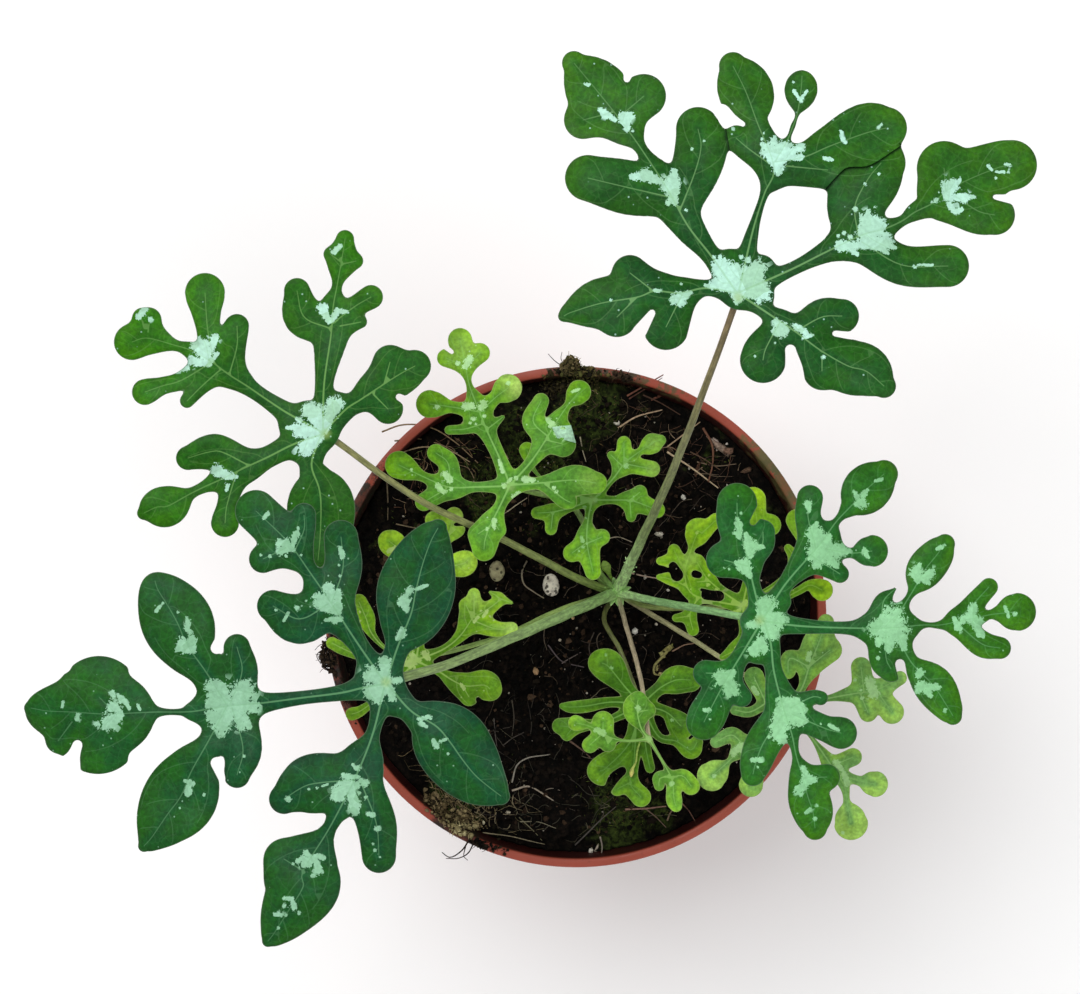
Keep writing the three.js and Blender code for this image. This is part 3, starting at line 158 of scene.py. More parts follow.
# The blades' plans. A rib is a line of points with the blade's half width at each, a web fills the
# crook between two ribs, and a cut is a notch or a slit between lobes.
BLADES = {
  "lower_left": {
    "ribs": [
      [[386, 682, 14], [398, 646, 14], [411, 614, 33], [416, 590, 40], [423, 563, 32], [431, 541, 20],
       [438, 528, 10]],
      [[388, 685, 14], [411, 711, 13], [436, 726, 26], [450, 742, 38], [462, 759, 37], [475, 775, 30],
       [489, 787, 20], [501, 796, 10]],
      [[384, 688, 14], [373, 733, 8], [356, 776, 26], [330, 827, 8], [303, 871, 36], [303, 887, 37],
       [287, 913, 27], [275, 932, 15], [268, 941, 7]],
      [[352, 780, 25], [318, 783, 31], [303, 787, 26], [284, 799, 16]],
      [[360, 780, 20], [376, 822, 21], [379, 856, 18]],
      [[305, 872, 24], [284, 859, 21]],
      [[384, 684, 16], [362, 688, 13], [340, 693, 9], [300, 698, 8], [262, 703, 12], [228, 706, 26],
       [196, 711, 12], [180, 712, 4.5], [156, 712, 7], [132, 713, 25], [105, 714, 45], [72, 712, 34],
       [48, 711, 23], [31, 708, 8]],
      [[114, 712, 20], [99, 697, 42]],
      [[72, 722, 22], [58, 741, 13]],
      [[114, 716, 20], [98, 732, 43]],
      [[230, 704, 22], [242, 672, 17], [237, 647, 14]],
      [[226, 704, 20], [206, 672, 18], [187, 645, 29], [178, 624, 37], [168, 606, 31], [158, 590, 19],
       [155, 581, 8]],
      [[226, 708, 20], [209, 740, 11], [191, 772, 27], [181, 796, 38], [167, 815, 31], [152, 837, 15],
       [144, 846, 7]],
      [[232, 708, 22], [243, 748, 20], [237, 775, 14]],
      [[383, 680, 14], [358, 644, 11], [329, 600, 22], [309, 571, 10], [288, 542, 21], [256, 511, 22]],
      [[332, 602, 20], [343, 568, 20], [341, 537, 18]],
      [[328, 604, 20], [300, 619, 26], [273, 606, 17]],
      [[294, 552, 16], [304, 530, 12], [304, 515, 13]],
      [[286, 548, 18], [263, 559, 15]]
    ],
    "webs": [
      [[386, 690, 16], [396, 704, 13]],
      [[380, 680, 16], [368, 672, 13]],
      [[212, 748, 8], [230, 746, 8]],
      [[208, 664, 8], [228, 664, 8]]
    ],
    "cuts": [
      [[77.5, 745, 4], [73, 757, 6], [66, 772, 13]],
      [[54, 657, 9], [62, 664, 9]],
      [[216.5, 763, 5], [222, 779, 2.5]],
      [[216.5, 648, 5], [222, 633, 2.5]]
    ],
  },
  "upper_left": {
    "ribs": [
      [[323, 433, 12], [324, 385, 10], [331, 335, 18], [333, 308, 14], [337, 286, 6], [342, 258, 14],
       [345, 239, 10]],
      [[329, 328, 16], [304, 317, 21], [297, 291, 14]],
      [[332, 324, 14], [354, 307, 11], [371, 297, 13]],
      [[340, 326, 13], [361, 322, 7]],
      [[341, 262, 12], [330, 254, 7]],
      [[343, 264, 12], [356, 261, 8]],
      [[323, 433, 12], [345, 410, 11], [360, 400, 13], [378, 388, 20], [400, 374, 22], [415, 366, 17]],
      [[384, 384, 18], [390, 362, 18]],
      [[374, 395, 15], [388, 409, 16]],
      [[323, 433, 12], [300, 420, 12], [284, 411, 11], [263, 397, 9], [247, 386, 10], [228, 374, 13],
       [212, 362, 16], [190, 350, 9], [174, 345, 7], [147, 338, 18], [132, 342, 19]],
      [[148, 332, 13], [150, 319, 12]],
      [[144, 328, 12], [141, 317, 9]],
      [[214, 362, 14], [208, 332, 12], [206, 310, 16], [205, 293, 21]],
      [[230, 372, 14], [237, 346, 10], [237, 326, 13]],
      [[212, 362, 14], [182, 380, 10], [162, 386, 10], [145, 392, 14]],
      [[220, 370, 12], [202, 386, 9], [187, 401, 8]],
      [[323, 434, 12], [294, 444, 13], [268, 457, 12], [244, 468, 16], [224, 478, 13], [204, 487, 7],
       [188, 495, 8], [168, 506, 21], [157, 507, 18], [144, 513, 8]],
      [[246, 464, 15], [222, 452, 17], [209, 452, 18], [188, 458, 13]],
      [[236, 474, 13], [227, 505, 11], [225, 523, 15]],
      [[321, 436, 11], [313, 456, 12], [312, 469, 13], [319, 488, 22], [321, 508, 35], [320, 538, 28],
       [318, 560, 9]]
    ],
    "webs": [
      [[318, 425, 12], [307, 413, 13]],
      [[318, 430, 12], [295, 425, 17]],
      [[316, 440, 12], [303, 449, 15]],
      [[324, 425, 12], [336, 407, 16]],
      [[246, 378, 5], [240, 368, 5]],
      [[218, 356, 8], [224, 338, 10]]
    ],
    "cuts": [
      [[399, 397, 2.5], [410, 403, 4]]
    ],
  },
  "upper_right": {
    "ribs": [
      [[737, 293, 14], [712, 257, 10.5], [688, 226, 16.5], [668, 190, 20], [642, 150, 7], [622, 122, 22],
       [598, 92, 32], [574, 63, 13]],
      [[614, 112, 22], [583, 120, 20]],
      [[618, 118, 20], [644, 96, 23]],
      [[680, 210, 18], [695, 172, 25], [701, 147, 27], [698, 129, 23]],
      [[674, 198, 20], [630, 188, 28], [588, 178, 24]],
      [[736, 293, 11], [706, 288, 9], [680, 293, 16], [655, 291, 20], [638, 297, 21], [602, 303, 26],
       [572, 312, 12], [564, 316, 7]],
      [[652, 290, 18], [630, 273, 19]],
      [[682, 295, 16], [666, 327, 24]],
      [[634, 300, 18], [617, 317, 21]],
      [[739, 291, 14], [750, 242, 8.5], [757, 216, 5.5], [765, 192, 6], [774, 167, 17], [757, 122, 12],
       [746, 92, 28.5], [733, 66, 15]],
      [[770, 164, 14], [749, 149, 14], [736, 138, 13]],
      [[775, 162, 14], [787, 141, 3.5], [793, 126, 3.4], [797.5, 113, 3.6], [801, 90, 17.5], [802, 76, 7]],
      [[775, 162, 18], [804, 157, 15], [830, 146, 21], [866, 133, 30.5], [886, 128, 22]],
      [[786, 166, 20], [828, 170, 20]],
      [[740, 292, 14], [790, 270, 8], [826, 252, 12], [862, 235, 24], [884, 229, 12], [902, 221, 6.5],
       [915, 212, 10], [933, 203, 15], [948, 190, 30], [972, 178, 30], [1000, 167, 27], [1012, 165, 26]],
      [[946, 190, 26], [944, 168, 28]],
      [[955, 196, 28], [978, 211, 24], [995, 215, 21]],
      [[858, 234, 22], [855, 206, 29], [868, 179, 33.5], [881, 163, 25.5]],
      [[862, 242, 20], [902, 265, 21], [948, 266, 22]],
      [[742, 296, 10], [760, 308, 8], [775, 318, 10], [796, 332, 16], [820, 350, 22], [848, 366, 28],
       [866, 371, 26], [884, 386, 13]],
      [[822, 356, 22], [822, 371, 20]],
      [[798, 330, 13], [822, 317, 19], [842, 316, 18]],
      [[780, 322, 12], [766, 348, 21], [763, 360, 24]]
    ],
    "webs": [
      [[738, 285, 13], [730, 263, 15]],
      [[745, 285, 13], [762, 268, 14]],
      [[745, 294, 12], [762, 296, 13]]
    ],
    "cuts": [
      [[627, 79, 2.5], [629, 66, 4]],
      [[743, 124, 1.5], [731, 118.5, 4.5], [722, 112, 7]],
      [[995, 197, 1.5], [1014, 199.5, 4]],
      [[652, 313, 2.5], [640, 331, 6]],
      [[835, 333.5, 2], [852, 335.5, 3], [868, 334, 4]],
      [[790.5, 350, 4.5], [794, 370, 8], [795, 392, 10]]
    ],
  },
  "right": {
    "ribs": [
      [[762, 620, 13], [753, 584, 8], [746, 553, 17], [738, 522, 22], [737, 503, 21]],
      [[750, 556, 14], [762, 545, 13], [763, 532, 13]],
      [[747, 566, 14], [724, 560, 19]],
      [[763, 619, 13], [784, 586, 9], [806, 560, 16], [821, 543, 20], [836, 522, 5], [852, 505, 12],
       [867, 489, 25], [884, 474, 15]],
      [[816, 548, 16], [808, 517, 14], [810, 498, 14]],
      [[826, 549, 14], [851, 553, 6], [872, 551, 17]],
      [[812, 556, 16], [840, 574, 10]],
      [[764, 621, 14], [800, 626, 9], [850, 628, 8], [889, 628, 22], [922, 625, 5], [940, 625, 5],
       [960, 621, 11]],
      [[894, 622, 14], [906, 602, 5], [914, 589, 7], [924, 571, 19], [936, 556, 18], [945, 544, 11]],
      [[882, 614, 14], [884, 600, 9], [896, 588, 2]],
      [[886, 634, 18], [886, 658, 18], [891, 669, 14]],
      [[898, 636, 12], [911, 662, 9], [933, 685, 21], [947, 706, 16], [953, 716, 10]],
      [[958, 620, 11], [975, 602, 11], [989, 587, 10]],
      [[960, 621, 12], [980, 617, 8], [991, 614.5, 5.5], [1005, 613, 12], [1017, 612, 20]],
      [[960, 626, 12], [982, 644, 14], [1000, 648, 12]],
      [[765, 624, 12], [771, 645, 10], [774, 672, 10], [784, 710, 18], [792, 735, 8], [796, 755, 5],
       [802, 775, 13], [808, 797, 21], [813, 812, 21], [815, 828, 13]],
      [[790, 708, 13], [812, 697, 8], [821, 698, 8]],
      [[792, 714, 14], [824, 728, 14], [841, 733, 17]],
      [[782, 716, 18], [764, 742, 19], [756, 762, 17], [753, 774, 13]],
      [[804, 778, 12], [827, 777, 14]],
      [[760, 624, 12], [740, 657, 10], [726, 680, 15], [709, 712, 20], [704, 722, 19]],
      [[728, 674, 12], [706, 673, 14]],
      [[728, 682, 12], [742, 697, 11]]
    ],
    "webs": [
      [[770, 610, 14], [782, 602, 10]],
      [[762, 632, 12], [758, 653, 12]],
      [[762, 620, 13], [751, 621, 12]]
    ],
    "cuts": [
      [[753, 522, 2.5], [760, 511, 4]],
      [[900, 664, 4], [903, 678, 3.5], [906, 692, 4]],
      [[991, 606, 2], [1002, 594, 3]]
    ],
  },
  "centre_top": {
    "ribs": [
      [[510, 485, 10], [499, 457, 8], [488, 433, 9], [478, 408, 12], [469, 384, 4], [465, 362, 10],
       [460, 340, 13]],
      [[465, 366, 8], [446, 358, 10]],
      [[467, 366, 8], [480, 353, 11]],
      [[480, 412, 10], [452, 407, 7], [430, 404, 15]],
      [[482, 424, 7], [465, 429, 6], [449, 430, 5.5]],
      [[480, 412, 10], [496, 397, 8], [508, 388, 15]],
      [[486, 430, 8], [503, 417, 3]],
      [[510, 485, 8], [530, 463, 7], [545, 441, 12], [557, 421, 10], [568, 405, 5], [579, 392, 13]],
      [[547, 436, 12], [533, 421, 12], [541, 401, 9]],
      [[546, 440, 12], [563, 444, 14]],
      [[510, 485, 10], [540, 483, 7], [574, 480, 16], [596, 483, 12]],
      [[546, 485, 8], [564, 499, 10], [570, 502, 8]],
      [[509, 487, 10], [500, 506, 7], [490, 526, 13], [485, 540, 15], [484, 549, 13]],
      [[494, 522, 10], [499, 530, 8]],
      [[490, 526, 12], [478, 534, 11]],
      [[509, 486, 9], [475, 487, 6], [449, 487, 13], [424, 477, 6], [399, 465, 15]],
      [[450, 484, 12], [448, 463, 11], [436, 453, 10]],
      [[446, 489, 11], [424, 502, 10]]
    ],
    "webs": [
      [[482, 424, 8], [471, 421, 8]],
      [[554, 428, 10], [564, 428, 8]]
    ],
    "cuts": [
      [[444, 346, 1.5], [452, 352, 1.2]],
      [[437, 419.5, 1], [456, 419, 1.6]]
    ],
  },
  "centre": {
    "ribs": [
      [[593, 500, 7], [612, 480, 4], [625, 463, 11], [639, 452, 4.5], [652, 444, 11]],
      [[622, 466, 9], [611, 455, 5]],
      [[624, 464, 9], [624, 443, 8]],
      [[626, 464, 9], [652, 469, 9]],
      [[652, 442, 8], [661, 440, 6]],
      [[593, 500, 7], [614, 500, 5], [633, 501, 11], [657, 510, 9]],
      [[630, 500, 8], [640, 492, 8]],
      [[630, 502, 8], [631, 517, 6]],
      [[592, 501, 7], [588, 520, 5], [587, 543, 13], [593, 572, 9]],
      [[586, 543, 10], [572, 553, 10]],
      [[588, 543, 9], [602, 537, 9]],
      [[592, 500, 6], [570, 508, 5], [552, 512, 9], [537, 513, 7]],
      [[553, 512, 8], [551, 529, 7]],
      [[591, 499, 5], [556, 489, 3], [534, 470, 3], [527, 450, 9]]
    ],
    "webs": [],
    "cuts": [],
  },
  "right_under": {
    "ribs": [
      [[742, 606, 8], [714, 601, 5], [691, 593, 8], [685, 573, 8], [691, 550, 4], [698, 531, 14]],
      [[685, 578, 7], [672, 562, 8], [660, 561, 5]],
      [[685, 572, 7], [674, 550, 7]],
      [[686, 586, 6], [670, 579, 7], [659, 577, 4]],
      [[698, 598, 5], [690, 614, 7], [693, 630, 7]],
      [[690, 616, 6], [676, 618, 5]],
      [[742, 605, 8], [719, 589, 6], [706, 577, 9], [697, 562, 9]],
      [[709, 581, 8], [697, 582, 6]],
      [[702, 533, 8], [716, 520, 8]],
      [[743, 604, 7], [752, 560, 5], [757, 525, 8], [753, 500, 14]],
      [[757, 532, 7], [770, 525, 12]],
      [[743, 605, 6], [768, 590, 4], [790, 574, 6], [794, 558, 7], [788, 548, 5]],
      [[791, 572, 5], [804, 545, 7], [797, 520, 12]],
      [[743, 606, 7], [775, 602, 4], [798, 591, 5], [810, 585, 6], [822, 590, 12]],
      [[743, 607, 8], [744, 634, 6], [736, 649, 9], [722, 657, 4]]
    ],
    "webs": [],
    "cuts": [
      [[673, 566, 3.5], [677, 575, 5.5]],
      [[695, 574, 3], [699, 575, 2.5]],
      [[706, 595, 4], [719, 596, 4.5]]
    ],
  },
  "lower_right_under": {
    "ribs": [
      [[788, 707, 8], [802, 688, 5], [810, 664, 12], [818, 645, 17], [826, 622, 9]],
      [[810, 666, 11], [830, 650, 13]],
      [[809, 667, 10], [790, 658, 9], [788, 672, 8]],
      [[788, 707, 8], [825, 699, 4], [852, 694, 9], [876, 690, 11], [900, 678, 8]],
      [[864, 692, 12], [861, 667, 11]],
      [[860, 693, 10], [868, 713, 10]],
      [[876, 690, 9], [892, 712, 13]],
      [[788, 708, 7], [812, 738, 3], [831, 765, 9], [844, 785, 6], [847, 803, 5], [851, 823, 18]],
      [[837, 774, 7], [860, 781, 6], [875, 784, 14]],
      [[832, 766, 9], [853, 757, 10]],
      [[787, 708, 7], [766, 728, 4], [741, 749, 9], [728, 762, 4], [712, 776, 16]],
      [[744, 746, 9], [732, 735, 9], [716, 742, 7]],
      [[770, 725, 4], [758, 758, 7], [751, 785, 13]],
      [[787, 707, 6], [768, 703, 6], [760, 690, 9], [754, 677, 11]],
      [[768, 702, 6], [750, 712, 6], [735, 710, 6]]
    ],
    "webs": [],
    "cuts": [],
  },
  "lower_centre": {
    "ribs": [
      [[641, 704, 8], [626, 688, 9], [609, 667, 17], [602, 663, 15]],
      [[641, 704, 7], [612, 702, 6], [586, 706, 7.5], [570, 707, 6.5], [562, 706, 4]],
      [[641, 705, 7], [604, 722, 5], [572, 726, 9], [560, 726, 9]],
      [[574, 726, 8], [567, 735, 7]],
      [[641, 705, 8], [630, 742, 8], [606, 768, 16], [600, 771, 14]],
      [[636, 726, 8], [634, 762, 6], [630, 783, 9], [641, 797, 11]],
      [[631, 782, 8], [617, 789, 8]],
      [[642, 704, 8], [660, 688, 8], [676, 680, 15], [690, 680, 13]],
      [[642, 705, 8], [666, 712, 7], [681, 726, 14]],
      [[642, 706, 7], [658, 736, 5], [676, 741, 6], [691, 750, 10], [697, 742, 7]],
      [[642, 706, 7], [646, 748, 6], [650, 768, 6]]
    ],
    "webs": [],
    "cuts": [
      [[622, 771, 3.5], [614, 778, 4.5], [608, 789, 3]]
    ],
  },
  "left_under": {
    "ribs": [
      [[416, 660, 9], [442, 650, 5], [460, 636, 7], [475, 614, 14]],
      [[474, 616, 11], [474, 594, 7]],
      [[472, 618, 10], [466, 605, 8]],
      [[474, 618, 10], [495, 604, 7], [499, 598, 6], [490, 592, 2.5]],
      [[499, 598, 5], [512, 603, 2.5]],
      [[472, 620, 12], [496, 629, 9], [512, 628, 7]],
      [[416, 661, 8], [438, 671, 5], [452, 680, 9], [466, 686, 13], [484, 685, 16], [490, 689, 13]],
      [[462, 685, 12], [469, 697, 10]],
      [[416, 660, 7], [425, 612, 4], [438, 565, 5], [446, 540, 5], [456, 529, 10]],
      [[448, 537, 6], [454, 516, 10]],
      [[440, 558, 5], [434, 520, 10]],
      [[437, 568, 5], [462, 564, 14], [469, 559, 8]],
      [[434, 578, 4], [410, 560, 7], [394, 545, 14], [389, 541, 12]],
      [[415, 660, 6], [388, 650, 3], [372, 634, 5], [366, 618, 10], [359, 602, 9]],
      [[415, 661, 6], [376, 662, 3], [346, 650, 7], [332, 643, 7]],
      [[415, 662, 6], [388, 690, 3], [362, 710, 6], [352, 714, 7.5]]
    ],
    "webs": [],
    "cuts": [
      [[455, 524.5, 0.9], [467, 523.5, 1.1]],
      [[478, 699, 1.5], [483, 707, 3]]
    ],
  },
  "young": {
    "ribs": [
      [[649, 739, 3], [628, 741, 2.2], [612, 738, 4], [603, 733, 9]],
      [[603, 733, 11], [603, 722, 12]],
      [[603, 733, 6], [589, 726, 4], [576, 723, 9]],
      [[602, 734, 8], [590, 745, 9]],
      [[604, 734, 9], [608, 744, 9]],
      [[649, 739, 3], [641, 728, 4], [637, 710, 15], [638, 700, 10]],
      [[638, 712, 10], [648, 710, 9]],
      [[649, 739, 3], [664, 764, 2.5], [672, 780, 6], [674, 799, 9], [676, 806, 7]],
      [[671, 777, 6], [683, 776, 8], [691, 786, 10]],
      [[671, 777, 6], [660, 778, 8], [659, 786, 6]]
    ],
    "webs": [],
    "cuts": [],
  },
}

# Where a lobe lies over its neighbour: lines on the plan, with the upper lobe on their left
LAPS = {
    "upper_right": [
        [[725, 122], [728, 140], [731, 158]],
        [[819, 196], [838, 175], [848, 167.5], [865, 166.5], [877, 161.5], [892, 151.5], [911, 139]],
    ],
}

PETIOLES = {
    "lower_left": {"via": [[560, 617], [500, 643], [440, 667]], "radii": [1.3, 0.95], "rise": 1.6},
    "upper_left": {"via": [[588, 583], [508, 542], [418, 499]], "radii": [0.95, 0.65], "rise": 1.6},
    "upper_right": {"via": [[637, 549], [673, 470], [706, 385]], "radii": [1.3, 0.6], "rise": 2.4},
    "right": {"via": [[650, 600], [700, 609]], "radii": [0.95, 0.75], "rise": 1.6},
    "centre_top": {
        "via": [[598, 576], [590, 540], [570, 503], [540, 494]], "radii": [0.75, 0.6], "rise": 0.72,
    },
    "centre": {"via": [[600, 572], [590, 545]], "radii": [0.65, 0.5], "rise": 1.6},
    "right_under": {"via": [[645, 606], [700, 608]], "radii": [0.65, 0.5], "rise": 1.6},
    "lower_right_under": {"via": [[638, 606], [715, 654]], "radii": [0.65, 0.5], "rise": 1.6},
    "lower_centre": {"via": [[604, 618], [620, 650]], "radii": [0.6, 0.5], "rise": 1.6},
    "left_under": {"via": [[560, 610], [500, 637]], "radii": [0.7, 0.55], "rise": 1.6},
    "young": {"via": [[625, 622], [641, 681]], "radii": [0.6, 0.5], "rise": 1.6},
}

# Each blade's look: the colour at its middle and at its tips, its patches' colour and its veins' colour,
# and the record's slot
LOOKS = {
    "lower_left": {
        "deep": "#0f4724", "tip": "#1a5615", "silver": "#90bf9f", "vein": "#629667", "slot": "leaf"},
    "upper_left": {
        "deep": "#1d5418", "tip": "#317304", "silver": "#b4dfcd", "vein": "#76a75a", "slot": "leaf"},
    "upper_right": {
        "deep": "#154d18", "tip": "#316912", "silver": "#b3e1cf", "vein": "#75a566", "slot": "leaf"},
    "right": {"deep": "#195a1f", "tip": "#357208", "silver": "#8fc896", "vein": "#6ba56b", "slot": "leaf"},
    "centre_top": {
        "deep": "#569030", "tip": "#649a00", "silver": "#b4dfa4", "vein": "#87bb62", "slot": "young_leaf"},
    "centre": {
        "deep": "#5c9128", "tip": "#6ca326", "silver": "#8dbf7a", "vein": "#85b760", "slot": "young_leaf"},
    "right_under": {
        "deep": "#5e900c", "tip": "#8ab826", "silver": "#9fbf5a", "vein": "#96b94f", "slot": "young_leaf"},
    "lower_right_under": {
        "deep": "#659549", "tip": "#86b46c", "silver": "#98c285", "vein": "#8bb56b", "slot": "young_leaf"},
    "lower_centre": {
        "deep": "#447412", "tip": "#629526", "silver": "#85b471", "vein": "#78a94f", "slot": "young_leaf"},
    "left_under": {
        "deep": "#62941a", "tip": "#8fbb33", "silver": "#b0ca7a", "vein": "#a3c467", "slot": "young_leaf"},
    "young": {
        "deep": "#568b2f", "tip": "#73a939", "silver": "#96c47c", "vein": "#8fbf62", "slot": "young_leaf"},
}

